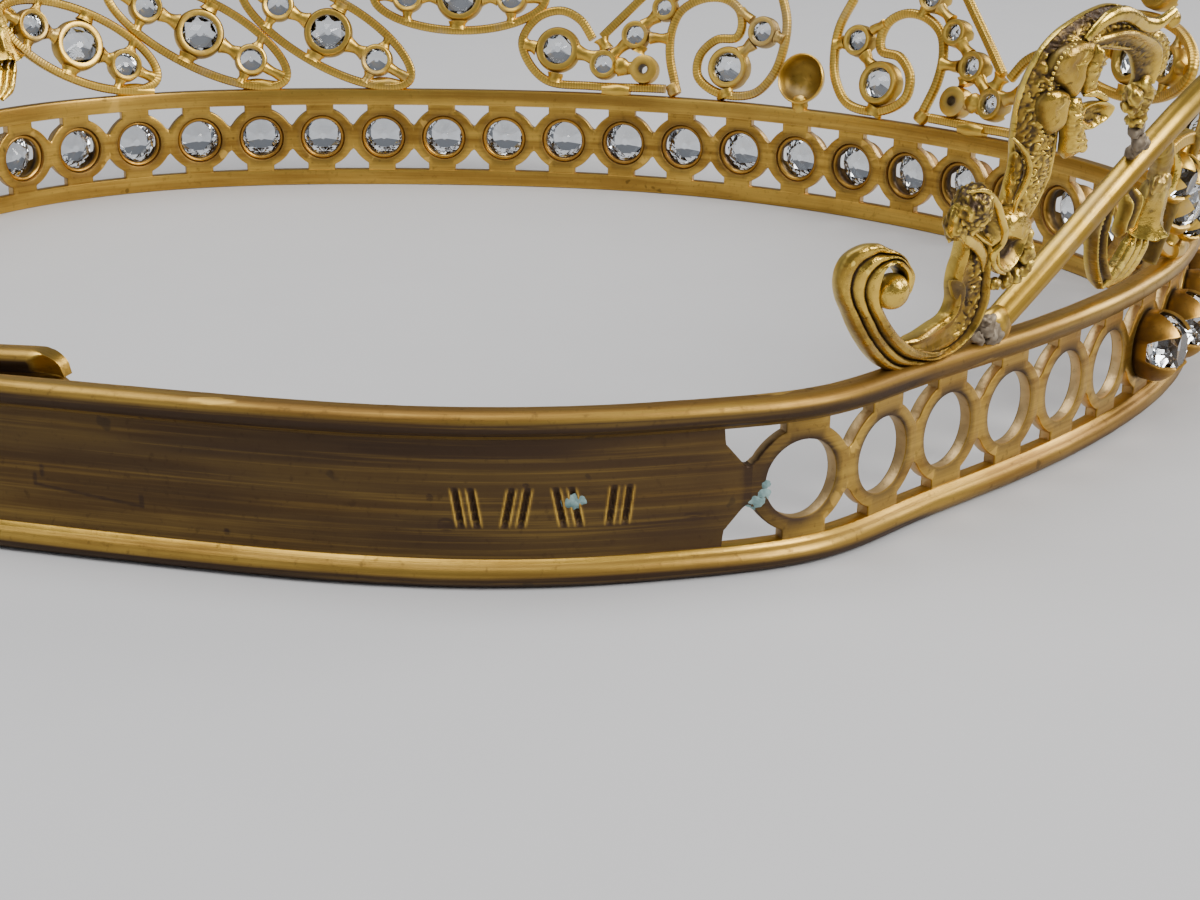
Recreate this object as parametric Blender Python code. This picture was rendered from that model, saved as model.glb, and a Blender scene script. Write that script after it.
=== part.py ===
"""A statue's crown in brass: a pierced band with half-round rims, lapped at the back, that carries a front
panel of wire filigree under a half-round outline rail. +Z is up, the front faces -Y, and the crown stands
on the lower rim of its band."""

import math

import bmesh
import bpy
import numpy as np
from mathutils import Vector
from mathutils.geometry import tessellate_polygon

# Driving dimensions, in millimetres and degrees.
BAND_H = 13.0
BAND_R = 71.6
BAND_T = 1.1
RIM_H = 2.0
RIM_OUT = 0.9
PITCH = 8.24
HOLE_R = 3.05
PAD_HALF = 1.85
WAIST_HALF = 1.62
HOLES_EACH_SIDE = 18
CHEVRON = 2.6
LAP_OUTER = 29.6
LAP_INNER = 30.22
TONGUE = 1.6
LAP_DROP = 2.7
LAP_END_DROP = 6.2
FLARE = 15.0
WIRE_R = 0.65
RAIL_HALF = 1.15
RAIL_CUT = 2.3
GAP = 0.3
OUT_OF_ROUND_COS = (-0.009, -0.020, 0.003, 0.002)
OUT_OF_ROUND_SIN = (0.026, 0.014, 0.025, -0.024)
BENDS = ((107.1, -1.35, 15.0), (115.2, 1.53, 7.0))
NAV_LEN = 26.0
NAV_HALF = 4.9
NAV_LEAN = 30.0
CUP_R = 3.3
CUP_OUT = 3.4
CUPS = (-13, 12)
RAIL_RISE = ((127.2, 13.0), (118.6, 19.7), (107.5, 30.9), (94.0, 31.5))
RAIL_SWEEP = ((94.0, 31.5), (62.0, 33.0), (26.0, 37.0), (0.0, 72.0))

# Colours of the aged brass and of the stones.
BRASS = (0.60, 0.40, 0.14, 1.0)
RAIL_BRASS = (0.70, 0.50, 0.20, 1.0)
CAST_BRASS = (0.62, 0.43, 0.12, 1.0)
WIRE_BRASS = (0.64, 0.42, 0.15, 1.0)
GLASS = (0.80, 0.83, 0.86, 1.0)


# ---- the plan of the band and the surface that everything stands on ----
def plan_radius(phi):
    r = np.ones_like(phi)
    for k in range(4):
        r = r + OUT_OF_ROUND_COS[k] * np.cos((k + 2) * phi)
        r = r + OUT_OF_ROUND_SIN[k] * np.sin((k + 2) * phi)
    r = BAND_R * r
    for angle, rise, width in BENDS:
        r = r + rise * np.exp(-((np.degrees(phi) - angle) / width) ** 2)
    return r


PHI = np.linspace(-math.pi, math.pi, 7201)
PLAN = np.stack([-plan_radius(PHI) * np.sin(PHI), -plan_radius(PHI) * np.cos(PHI)], axis=1)
STEP = np.hypot(np.diff(PLAN[:, 0]), np.diff(PLAN[:, 1]))
ARC = np.concatenate([[0.0], np.cumsum(STEP)])
ARC = ARC - np.interp(0.0, PHI, ARC)
GIRTH = ARC[-1] - ARC[0]


def plan_point(u):
    """Plan position and outward normal at arc length u from the front, positive towards -X."""
    u = (u - ARC[0]) % GIRTH + ARC[0]
    phi = float(np.interp(u, ARC, PHI))
    ends = []
    for p in (phi - 0.002, phi, phi + 0.002):
        r = float(plan_radius(np.array([p]))[0])
        ends.append(Vector((-r * math.sin(p), -r * math.cos(p), 0.0)))
    along = (ends[2] - ends[0]).normalized()
    out = Vector((along.y, -along.x, 0.0))
    if out.dot(ends[1]) < 0:
        out = -out
    return ends[1], out


def surface(u, z, o=0.0):
    """A point at arc length u, height z and distance o outside the middle of the sheet."""
    base, out = plan_point(u)
    lean = max(0.0, z - BAND_H) * math.tan(math.radians(FLARE))
    p = base + out * (o + lean)
    return Vector((p.x, p.y, z))


# ---- small mesh kit: a shape is (points, faces) ----
def smooth_path(points, per=4, closed=False):
    """Catmull-Rom through the points."""
    pts = [Vector(p) for p in points]
    n = len(pts)
    spans = n if closed else n - 1
    out = []
    for i in range(spans):
        if closed:
            a, b, c, d = (pts[(i + k - 1) % n] for k in range(4))
        else:
            b, c = pts[i], pts[i + 1]
            a = pts[i - 1] if i > 0 else b * 2 - c
            d = pts[i + 2] if i + 2 < n else c * 2 - b
        for s in range(per):
            t = s / per
            q = (b * 2 + (c - a) * t + (a * 2 - b * 5 + c * 4 - d) * t * t
                 + (b * 3 - a - c * 3 + d) * t * t * t) * 0.5
            out.append(q)
    if not closed:
        out.append(pts[-1])
    return out


def bezier(control, n):
    out = []
    for i in range(n + 1):
        t = i / n
        w = ((1 - t) ** 3, 3 * (1 - t) ** 2 * t, 3 * (1 - t) * t * t, t ** 3)
        out.append((sum(a * c[0] for a, c in zip(w, control)), sum(a * c[1] for a, c in zip(w, control))))
    return out


def frames(path, closed):
    """3-D points of a (u, z, o) path with the side and outward directions at each."""
    pts = [surface(*p) for p in path]
    n = len(pts)
    result = []
    for i, p in enumerate(path):
        after = pts[(i + 1) % n] if closed or i + 1 < n else pts[i]
        before = pts[(i - 1) % n] if closed or i > 0 else pts[i]
        t = (after - before).normalized()
        out = (surface(p[0], p[1], p[2] + 1.0) - pts[i]).normalized()
        side = out.cross(t).normalized()
        out = t.cross(side).normalized()
        result.append((pts[i], side, out))
    return result


def sweep(path, profile, closed=False, scales=None):
    """Carries the profile, (side, outward) points turning left, along the path."""
    rows = frames(path, closed)
    pts = []
    for i, (p, side, out) in enumerate(rows):
        k = scales[i] if scales else 1.0
        kx, ky = k if isinstance(k, tuple) else (k, k)
        pts += [p + side * (a * kx) + out * (b * ky) for a, b in profile]
    m = len(profile)
    n = len(rows)
    faces = []
    for i in range(n if closed else n - 1):
        j = (i + 1) % n
        for a in range(m):
            b = (a + 1) % m
            faces.append((i * m + a, i * m + b, j * m + b, j * m + a))
    if not closed:
        faces.append(tuple(reversed(range(m))))
        faces.append(tuple((n - 1) * m + a for a in range(m)))
    return pts, faces


def ngon(r, n, ry=None, turn=0.0):
    ry = r if ry is None else ry
    return [(r * math.cos(turn + 2 * math.pi * i / n), ry * math.sin(turn + 2 * math.pi * i / n))
            for i in range(n)]


def lathe_on(u, z, rings, n=8, turn=0.0, sx=1.0):
    """A turned shape whose axis is the outward normal at (u, z). rings: (radius, offset), from inside out."""
    c = surface(u, z)
    base, out = plan_point(u)
    lean = math.radians(FLARE) if z > BAND_H else 0.0
    along = Vector((0, 0, 1)).cross(out).normalized()
    up = (Vector((0, 0, 1)) * math.cos(lean) + out * math.sin(lean)).normalized()
    axis = along.cross(up).normalized()
    if axis.dot(out) < 0:
        axis = -axis
    pts = []
    for r, o in rings:
        for i in range(n):
            a = turn + 2 * math.pi * i / n
            pts.append(c + along * (r * sx * math.cos(a)) + up * (r * math.sin(a)) + axis * o)
    faces = []
    m = len(rings)
    for k in range(m - 1):
        for i in range(n):
            j = (i + 1) % n
            faces.append((k * n + i, k * n + j, (k + 1) * n + j, (k + 1) * n + i))
    faces.append(tuple(reversed(range(n))))
    faces.append(tuple((m - 1) * n + i for i in range(n)))
    return pts, faces


def open_ring(u, z, r_out, r_in, o_low, o_high, n=8, turn=0.0, sx=1.0):
    """A short tube with its axis along the outward normal."""
    outer = lathe_on(u, z, [(r_out, o_low), (r_out, o_high)], n, turn, sx)[0]
    inner = lathe_on(u, z, [(r_in, o_low), (r_in, o_high)], n, turn, sx)[0]
    pts = outer + inner
    faces = []
    for i in range(n):
        j = (i + 1) % n
        faces.append((i, j, n + j, n + i))
        faces.append((2 * n + j, 2 * n + i, 3 * n + i, 3 * n + j))
        faces.append((j, i, 2 * n + i, 2 * n + j))
        faces.append((n + i, n + j, 3 * n + j, 3 * n + i))
    return pts, faces


def to_mesh(name, shape):
    pts, faces = shape
    mesh = bpy.data.meshes.new(name)
    mesh.from_pydata([tuple(Vector(p) * 0.001) for p in pts], [], faces)
    bm = bmesh.new()
    bm.from_mesh(mesh)
    bmesh.ops.triangulate(bm, faces=bm.faces)
    bmesh.ops.recalc_face_normals(bm, faces=bm.faces)
    if bm.calc_volume(signed=True) < 0:
        bmesh.ops.reverse_faces(bm, faces=bm.faces)
    bm.to_mesh(mesh)
    bm.free()
    return mesh


def material(name, colour, rough, metal=1.0):
    mat = bpy.data.materials.new(name)
    mat.use_nodes = True
    shader = mat.node_tree.nodes["Principled BSDF"]
    shader.inputs["Base Color"].default_value = colour
    shader.inputs["Roughness"].default_value = rough
    shader.inputs["Metallic"].default_value = metal
    mat.diffuse_color = colour
    return mat


def node(name, shapes, colour, rough=0.4, metal=1.0):
    """One node: the union of its shapes."""
    obj = bpy.data.objects.new(name, to_mesh(name, shapes[0]))
    bpy.context.scene.collection.objects.link(obj)
    others = []
    for i, shape in enumerate(shapes[1:]):
        other = bpy.data.objects.new(name + "_join", to_mesh(name + "_join", shape))
        bpy.context.scene.collection.objects.link(other)
        joined = obj.modifiers.new("join", "BOOLEAN")
        joined.operation = "UNION"
        joined.solver = "EXACT"
        joined.object = other
        others.append(other)
    if others:
        graph = bpy.context.evaluated_depsgraph_get()
        graph.update()
        whole = bpy.data.meshes.new_from_object(obj.evaluated_get(graph))
        obj.modifiers.clear()
        obj.data = whole
        for other in others:
            bpy.data.objects.remove(other)
    obj.data.materials.clear()
    obj.data.materials.append(material(name, colour, rough, metal))
    return obj


# ---- the band ----
def lap_shift(v):
    """How far inside the outer end the inner end of the strip lies."""
    start = -23.2 * PITCH
    full = -25.0 * PITCH
    last = -LAP_INNER * PITCH
    if v > start:
        return 0.0
    if v > full:
        t = (start - v) / (start - full)
        return -LAP_DROP * t * t * (3 - 2 * t)
    t = (full - v) / (full - last)
    return -LAP_DROP - (LAP_END_DROP - LAP_DROP) * t


def band_shape():
    index = {}
    pts = []
    faces = []

    def at(v, o, z):
        key = (round(v, 4), round(o, 4), round(z, 4))
        if key not in index:
            base, out = plan_point(v)
            p = base + out * (o + lap_shift(v))
            index[key] = len(pts)
            pts.append(Vector((p.x, p.y, z)))
        return index[key]

    h = BAND_T / 2
    mid = BAND_H / 2
    low = RIM_H
    high = BAND_H - RIM_H
    half = PITCH / 2
    r_out = h + RIM_OUT
    bead = 0.45
    rim_low = [(-h, low), (-h, 0.0), (bead, 0.0), (r_out, RIM_H * 0.5), (h, low)]
    rim_high = [(h, high), (r_out, high + RIM_H * 0.5), (bead, BAND_H), (-h, BAND_H), (-h, high)]
    quarter = [(PAD_HALF, mid - RIM_H), (half, WAIST_HALF)]

    def plate(loops, open_edges):
        """A flat piece of the sheet with walls on every edge that isn't joined to a neighbour."""
        flat = [Vector((a, b, 0.0)) for loop in loops for a, b in loop]
        for tri in tessellate_polygon([[Vector((a, b, 0.0)) for a, b in loop] for loop in loops]):
            a, b, c = (flat[i] for i in tri)
            if (b - a).cross(c - a).z < 0:
                b, c = c, b
            faces.append(tuple(at(q.x, h, q.y) for q in (a, b, c)))
            faces.append(tuple(at(q.x, -h, q.y) for q in (a, c, b)))
        for loop in loops:
            for i, (a, b) in enumerate(loop):
                c, d = loop[(i + 1) % len(loop)]
                if any(test(a, b) and test(c, d) for test in open_edges):
                    continue
                faces.append((at(a, h, b), at(c, h, d), at(c, -h, d), at(a, -h, b)))

    at_rims = [lambda a, b: abs(b - low) < 1e-6, lambda a, b: abs(b - high) < 1e-6]
    for k in range(-HOLES_EACH_SIDE, HOLES_EACH_SIDE + 1):
        c = k * PITCH
        outline = [(c + a, mid - b) for a, b in quarter]
        outline += [(c + a, mid + b) for a, b in reversed(quarter)]
        outline += [(c - a, mid + b) for a, b in quarter]
        outline += [(c - a, mid - b) for a, b in reversed(quarter)]
        hole = [(c + a, mid + b) for a, b in reversed(ngon(HOLE_R * 1.01, 10, turn=math.radians(18)))]
        sides = [lambda a, b, c=c: abs(a - c - half) < 1e-6, lambda a, b, c=c: abs(a - c + half) < 1e-6]
        plate([outline, hole], at_rims + sides)

    edge = HOLES_EACH_SIDE * PITCH + half
    ends = {1: LAP_OUTER * PITCH, -1: LAP_INNER * PITCH}
    stations = {}
    for s in (1, -1):
        first = edge + CHEVRON
        count = 12
        stations[s] = [s * (first + (ends[s] - first) * i / count) for i in range(count + 1)]
        tip = s * edge
        shoulder = s * first
        loop = [(tip, mid - WAIST_HALF), (shoulder, low), (shoulder, high), (tip, mid + WAIST_HALF)]
        if s < 0:
            loop = loop[::-1]
        joins = [lambda a, b, e=tip: abs(a - e) < 1e-6, lambda a, b, e=shoulder: abs(a - e) < 1e-6]
        plate([loop], joins)
        for a, b in zip(stations[s], stations[s][1:]):
            a, b = (a, b) if s > 0 else (b, a)
            faces.append((at(a, h, low), at(b, h, low), at(b, h, high), at(a, h, high)))
            faces.append((at(b, -h, low), at(a, -h, low), at(a, -h, high), at(b, -h, high)))

    runs = sorted(set([k * PITCH + d for k in range(-HOLES_EACH_SIDE, HOLES_EACH_SIDE + 1)
                       for d in (-PAD_HALF, PAD_HALF)] + stations[1] + stations[-1]))
    for a, b in zip(runs, runs[1:]):
        for profile in (rim_low, rim_high):
            for (o1, z1), (o2, z2) in zip(profile, profile[1:]):
                faces.append((at(a, o1, z1), at(a, o2, z2), at(b, o2, z2), at(b, o1, z1)))
        middle = (a + b) / 2
        near_pad = abs(middle / PITCH - round(middle / PITCH)) * PITCH < PAD_HALF
        if abs(middle) < edge + CHEVRON and not (near_pad and abs(middle) < edge):
            faces.append((at(a, -h, low), at(b, -h, low), at(b, h, low), at(a, h, low)))
            faces.append((at(a, h, high), at(b, h, high), at(b, -h, high), at(a, -h, high)))

    last = ends[1]
    faces.append(tuple(at(last, o, z) for o, z in rim_low[1:] + rim_high + rim_low[:1]))
    first = -ends[-1]
    faces.append(tuple(at(first, o, z) for o, z in rim_low))
    faces.append(tuple(at(first, o, z) for o, z in rim_high))
    tongue_end = first - TONGUE * 1.6
    shape = [(first, high), (first - TONGUE * 0.7, high), (tongue_end, high - 1.6), (tongue_end, low + 1.6),
             (first - TONGUE * 0.7, low), (first, low)]
    plate([shape], [lambda a, b: abs(a - first) < 1e-6])
    return pts, faces


# ---- pieces of the front panel ----
def side_of(points, s):
    """The points as they are for the left side (s = 1), or mirrored for the right side (s = -1)."""
    return [(s * p[0],) + tuple(p[1:]) for p in points]


def rail_path(n1=8, n2=13):
    path = bezier(RAIL_RISE, n1)[:-1] + bezier(RAIL_SWEEP, n2 * 5)[::5][:-1]
    return path + [p for p in bezier(RAIL_SWEEP, n2 * 5) if p[0] > RAIL_CUT][-1:]


def outline_rail(s):
    """Half-round wire: flat inside, domed outside. It is cut clear of the band at the foot and of the
    finial at the peak."""
    d = RAIL_HALF
    dome = [(-d, -0.8), (d, -0.8), (d, 0.0), (d * 0.55, 0.85), (-d * 0.55, 0.85), (-d, 0.0)]
    foot = [p for p in bezier(RAIL_RISE, 200) if p[1] > BAND_H + GAP + d * 0.9][0]
    path = [(u, z, 0.0) for u, z in [foot] + [p for p in rail_path() if p[1] > foot[1] + 1.5]]
    return [sweep(side_of(path, s), dome if s > 0 else dome)]


def collet(u, z, r, n=6, o_low=-0.9, o_high=1.5):
    return lathe_on(u, z, [(r * 1.07, o_low), (r * 1.07, o_high)], n, turn=math.pi / n)


def navette(s, cu, cz, lean, length, mid_r, end_r, spread, tie=None):
    """A pointed oval of openwork: a frame round three collets soldered in a row, with the small spaces
    between them left open. A fourth collet can tie it to the rail."""
    a = math.radians(lean)

    def place(points):
        return [(s * (cu + x * math.cos(a) - y * math.sin(a)), cz + x * math.sin(a) + y * math.cos(a))
                for x, y in points]

    outline = []
    for i in range(14):
        t = 2 * math.pi * i / 14
        y = NAV_HALF * math.sin(t) * (0.86 + 0.14 * abs(math.sin(t)))
        outline.append((length / 2 * math.cos(t), y))
    loops = [outline]
    for d, r in ((-spread, end_r), (0.0, mid_r), (spread, end_r)):
        loops.append([(d + x, y) for x, y in reversed(ngon(r, 8, turn=math.pi / 8))])
    near = spread * 0.56
    reach = NAV_HALF - WIRE_R * 2
    for x in (-1, 1):
        for y in (-1, 1):
            gap = [(x * near, y * 0.9), (x * (near + 1.5), y * reach * 0.66), (x * (near - 1.1), y * reach * 0.80)]
            loops.append(gap if x * y < 0 else gap[::-1])
    shapes = [openwork([place(loop) for loop in loops], -WIRE_R, WIRE_R)]
    if tie:
        shapes.append(collet(s * tie[0], tie[1], tie[2]))
    return shapes


def openwork(loops, o_low, o_high):
    """A pierced plate that lies in the surface: the first loop is its outline, the others are openings."""
    flat = [Vector((u, z, 0.0)) for loop in loops for u, z in loop]
    n = len(flat)
    pts = [surface(q.x, q.y, o_high) for q in flat] + [surface(q.x, q.y, o_low) for q in flat]
    faces = []
    for tri in tessellate_polygon([[Vector((u, z, 0.0)) for u, z in loop] for loop in loops]):
        a, b, c = tri
        faces.append((a, b, c))
        faces.append((c + n, b + n, a + n))
    start = 0
    for loop in loops:
        m = len(loop)
        for i in range(m):
            j = (i + 1) % m
            faces.append((start + i, start + j, start + j + n, start + i + n))
        start += m
    return pts, faces


def wire(points, s, r=WIRE_R, per=1):
    return sweep(side_of(smooth_path([(p[0], p[1], 0.0) for p in points], per), s),
                 ngon(r * 1.1, 4, turn=math.pi / 4))


S_WIRE = ((18.7, 14.5), (19.0, 19.2), (18.2, 23.6), (14.4, 26.0), (10.4, 24.8), (10.2, 21.6), (13.4, 20.4),
          (15.3, 17.8), (14.2, 14.9), (10.6, 14.1), (6.6, 14.9), (4.0, 18.6), (3.6, 23.0), (5.0, 27.4))
LOOP_WIRE = ((17.8, 14.2), (29.0, 14.1), (35.4, 14.8), (38.4, 18.6), (37.0, 22.6), (33.4, 23.4), (29.6, 20.4))
V_WIRE = ((30.4, 19.8), (25.4, 24.6), (20.5, 29.0), (14.6, 34.6), (9.6, 39.6), (5.7, 45.6))


def filigree(s):
    shapes = [wire(S_WIRE, s), wire(LOOP_WIRE, s), wire(V_WIRE, s)]
    for u, z, r in ((10.8, 17.4, 3.0), (6.1, 22.0, 2.4), (34.2, 18.6, 3.5), (27.6, 16.6, 2.3), (23.0, 16.4, 2.0),
                    (23.6, 20.3, 2.4), (20.2, 24.4, 2.2), (16.2, 27.6, 2.2)):
        shapes.append(collet(s * u, z, r))
    return shapes


CREST_LOW = ((142.5, 19.8), (140.9, 20.9), (142.4, 22.6), (144.6, 23.5), (146.5, 22.4), (146.8, 20.0),
             (144.8, 16.9), (141.0, 15.0), (136.0, 14.8), (132.1, 15.5), (130.2, 17.6), (131.0, 20.4),
             (133.1, 23.1), (134.8, 25.6))
CREST_HIGH = ((126.6, 17.2), (127.3, 20.5), (128.5, 24.5), (129.1, 28.6), (130.1, 32.0), (129.5, 34.9),
              (126.8, 37.1), (122.9, 37.8), (118.9, 37.2), (115.7, 35.3), (115.4, 32.3), (115.7, 29.4),
              (114.7, 26.8))


def crest_scroll(s):
    """One casting: a volute on the rim that rises in a leaf, then an arch of leaf that lands on the rail."""
    low = smooth_path([(u, z, 0.4) for u, z in CREST_LOW], 1)
    high = smooth_path([(u, z, 0.3) for u, z in CREST_HIGH], 1)
    box = [(-1.3, -1.2), (1.3, -1.2), (1.3, 0.5), (0.0, 1.4), (-1.3, 0.5)]
    n1 = len(low)
    n2 = len(high)
    k1 = [0.62 + 0.38 * min(1.0, i / (n1 * 0.3)) for i in range(n1)]
    k1 = [a * (1.0 + 0.25 * math.sin(math.pi * max(0.0, (i / (n1 - 1) - 0.7) / 0.3))) for i, a in enumerate(k1)]
    k2 = [0.9 + 0.35 * math.sin(math.pi * i / (n2 - 1)) for i in range(n2)]
    shapes = [sweep(side_of(low, s), box, scales=k1), sweep(side_of(high, s), box, scales=k2)]
    shapes.append(wire(((130.8, 17.8), (128.9, 18.0), (126.9, 18.2)), s, 1.1, 1))
    shapes.append(lathe_on(s * 142.6, 19.6, [(0.9, -1.3), (1.6, -0.5), (1.6, 0.7), (0.9, 1.6)], 6))
    shapes.append(lathe_on(s * 122.7, 29.9, [(1.1, -0.9), (2.2, 0.2), (0.9, 1.3)], 6))
    shapes.append(wire(((129.1, 29.6), (125.5, 28.8), (122.7, 29.9), (120.6, 31.1)), s, 0.9, 1))
    return shapes


def corner_scroll(s):
    """A small casting that fills the corner between the rim and the outline rail."""
    one = ((109.7, 14.6), (112.8, 16.3), (114.5, 18.7), (113.3, 20.8), (111.5, 21.1))
    two = ((109.7, 14.6), (106.1, 15.4), (104.9, 17.7), (106.8, 20.5), (109.1, 22.7), (109.8, 23.9))
    return [wire(one, s, 0.95, 1), wire(two, s, 1.05, 1)]


def centre_boss():
    """A round cup, hollow behind, at the middle of the front."""
    z = BAND_H + GAP + 3.3
    outer = lathe_on(0.0, z, [(3.25, -1.4), (3.25, -0.2), (2.2, 1.2)], 10)[0]
    inner = lathe_on(0.0, z, [(2.7, -1.4), (1.9, 0.3)], 10)[0]
    pts = outer + inner
    faces = []
    n = 10
    for i in range(n):
        j = (i + 1) % n
        faces += [(i, j, n + j, n + i), (n + i, n + j, 2 * n + j, 2 * n + i),
                  (j, i, 3 * n + i, 3 * n + j), (3 * n + j, 3 * n + i, 4 * n + i, 4 * n + j)]
    faces.append(tuple(2 * n + i for i in range(n)))
    faces.append(tuple(4 * n + i for i in reversed(range(n))))
    return [(pts, faces)]


def peak_navette():
    """The upright frame under the peak, closed in keeping with those beside it."""
    shapes = navette(1, 0.0, 46.0, 90.0, 30.0, 2.4, 1.7, 8.0)
    shapes.append(collet(0.0, 29.3, 2.4))
    return shapes


SPRAY_WIRE = ((29.4, 36.6), (27.2, 34.6), (28.2, 31.4), (31.8, 30.9), (34.0, 34.0), (34.2, 38.4),
              (30.6, 41.9), (24.3, 46.0), (18.3, 50.4), (13.7, 54.1), (10.6, 57.0))


def peak_spray(s):
    """A plain curl of wire that follows the rail up to the peak, with four collets."""
    shapes = [wire(SPRAY_WIRE, s)]
    for u, z, r in ((30.6, 34.0, 2.9), (21.9, 44.8, 2.5), (15.3, 50.0, 2.3), (10.7, 54.9, 1.9)):
        shapes.append(collet(s * u, z, r))
    return shapes


def finial():
    """A turned knop on the peak."""
    top = surface(0.0, 72.0)
    base = Vector((top.x, top.y, 0.0))
    rings = [(1.8, 66.5), (1.8, 71.5), (2.6, 73.5), (1.1, 75.0), (2.9, 77.0), (3.5, 79.5), (2.9, 82.0),
             (1.0, 84.0), (0.4, 87.0)]
    n = 8
    pts = []
    for r, z in rings:
        pts += [base + Vector((r * math.cos(2 * math.pi * i / n), r * math.sin(2 * math.pi * i / n), z))
                for i in range(n)]
    faces = []
    for k in range(len(rings) - 1):
        for i in range(n):
            j = (i + 1) % n
            faces.append((k * n + i, k * n + j, (k + 1) * n + j, (k + 1) * n + i))
    faces.append(tuple(reversed(range(n))))
    faces.append(tuple((len(rings) - 1) * n + i for i in range(n)))
    return [(pts, faces)]


def build():
    for obj in list(bpy.data.objects):
        bpy.data.objects.remove(obj)
    made = [node("band", [band_shape()], BRASS, 0.42)]
    for s, side in ((1, "left"), (-1, "right")):
        made.append(node("outline_rail_" + side, outline_rail(s), RAIL_BRASS, 0.38))
        made.append(node("crest_scroll_" + side, crest_scroll(s), CAST_BRASS, 0.35))
        made.append(node("corner_scroll_" + side, corner_scroll(s), CAST_BRASS, 0.35))
        made.append(node("filigree_" + side, filigree(s), WIRE_BRASS, 0.42))
        made.append(node("peak_spray_" + side, peak_spray(s), WIRE_BRASS, 0.42))
        lows = ((64.8, 21.1, NAV_LEN, NAV_LEAN, (75.6, 29.3, 1.8)), (81.4, 21.1, NAV_LEN, NAV_LEAN, (92.2, 28.6, 1.3)),
                (97.2, 20.2, 22.5, 27.0, None))
        for i, (cu, cz, length, lean, tie) in enumerate(lows):
            shapes = navette(s, cu, cz, lean, length, 2.3, 1.6, 7.0 if tie else 6.2, tie)
            made.append(node("navette_" + side + "_" + str(i + 1), shapes, WIRE_BRASS, 0.42))
        shapes = navette(s, 48.0, 25.4, 0.0, 24.0, 2.3, 1.6, 6.8, (48.0, 33.1, 3.1))
        made.append(node("navette_" + side + "_4", shapes, WIRE_BRASS, 0.42))
    made.append(node("centre_boss", centre_boss(), WIRE_BRASS, 0.40))
    made.append(node("peak_navette", peak_navette(), WIRE_BRASS, 0.42))
    made.append(node("finial", finial(), CAST_BRASS, 0.35))
    low = BAND_T / 2 + GAP
    for i in range(CUPS[0], CUPS[1] + 1):
        shape = lathe_on(i * PITCH, BAND_H / 2, [(CUP_R, low), (CUP_R * 0.82, low + CUP_OUT)], 8, math.pi / 8)
        made.append(node("stone_cup_%02d" % (i - CUPS[0] + 1), [shape], GLASS, 0.10, 0.0))

    corners = np.array([v.co[:] for obj in made for v in obj.data.vertices])
    middle = (corners.min(axis=0) + corners.max(axis=0)) / 2
    shift = Vector((-middle[0], -middle[1], -corners[:, 2].min()))
    for obj in made:
        for v in obj.data.vertices:
            v.co += shift
    print("shift_mm", [round(c * 1000, 4) for c in shift])


build()
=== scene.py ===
"""Looks of the statue crown: worn brass, wire filigree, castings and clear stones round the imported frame."""

import math

import bmesh
import bpy
import numpy as np
from mathutils import Matrix, Vector
from mathutils.bvhtree import BVHTree


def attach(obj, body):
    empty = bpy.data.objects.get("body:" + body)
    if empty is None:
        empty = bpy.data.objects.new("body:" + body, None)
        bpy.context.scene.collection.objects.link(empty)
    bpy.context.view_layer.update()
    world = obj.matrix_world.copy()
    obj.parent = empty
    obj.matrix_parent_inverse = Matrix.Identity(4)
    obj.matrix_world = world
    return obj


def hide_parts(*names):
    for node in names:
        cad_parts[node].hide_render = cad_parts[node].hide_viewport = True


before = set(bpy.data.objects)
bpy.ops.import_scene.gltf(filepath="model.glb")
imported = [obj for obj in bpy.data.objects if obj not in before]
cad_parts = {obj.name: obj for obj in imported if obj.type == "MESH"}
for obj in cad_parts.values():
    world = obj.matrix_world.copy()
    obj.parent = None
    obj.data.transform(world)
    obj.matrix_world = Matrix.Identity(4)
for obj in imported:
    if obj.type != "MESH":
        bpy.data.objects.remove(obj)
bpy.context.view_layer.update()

# ---- dimensions shared with the solid model, in millimetres ----
# u runs along the strip from the front, positive to the left seen from outside; z is up; o is outwards.
BAND_H, BAND_R, BAND_T = 13.0, 71.6, 1.1
HALF_T = BAND_T / 2
BEVEL = 0.14
PITCH, HOLE_R = 8.24, 2.97
LAST_HOLE = 18
CHEVRON = 2.0
END_OUTER, END_INNER = 29.6 * PITCH, -30.15 * PITCH
FLARE = math.radians(15.0)
SHIFT = np.array([-2.392, 6.9558, 0.0])
COS_TERMS = (-0.009, -0.02, 0.003, 0.002)
SIN_TERMS = (0.026, 0.014, 0.025, -0.024)
BENDS = ((107.1, -1.35, 15.0), (115.2, 1.53, 7.0))
RAIL_RISE = ((127.2, 13.0), (118.6, 19.7), (107.5, 30.9), (94.0, 31.5))
PEAK_Z = 72.0
RAIL_SWEEP = ((94.0, 31.5), (62.0, 33.0), (26.0, 37.0), (0.0, PEAK_Z))
LAP_START, LAP_FULL, LAP_RISE = -23.2 * PITCH, -25.0 * PITCH, 0.4
CUPS = range(-13, 13)
SIDES = ((1, "left"), (-1, "right"))


# ---- small maths ----
def clip01(x):
    return np.clip(x, 0, 1)


def gauss(x, width):
    return np.exp(-(x / width) ** 2)


def turns(count):
    """Even angles round a circle."""
    return np.arange(count) * 2 * math.pi / count


def between(a, b, share):
    return a * (1 - share) + b * share


def running(p):
    """Length along a row of points, from the first."""
    return np.concatenate([[0.0], np.cumsum(np.linalg.norm(np.diff(p, axis=0), axis=1))])


def taper(t, ends, rate):
    """1 along the middle of a length t of 0 to 1, falling to the two given shares at its ends."""
    first, last = ends
    return np.minimum(1, np.minimum(first + t * (1 - first) * rate, last + (1 - t) * (1 - last) * rate))[:, None]


# ---- the surface everything stands on ----
def plan_radius(phi):
    r = np.ones_like(phi)
    for k in range(4):
        r = r + COS_TERMS[k] * np.cos((k + 2) * phi) + SIN_TERMS[k] * np.sin((k + 2) * phi)
    r = BAND_R * r
    for angle, rise, width in BENDS:
        r = r + rise * gauss(np.degrees(phi) - angle, width)
    return r


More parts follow.
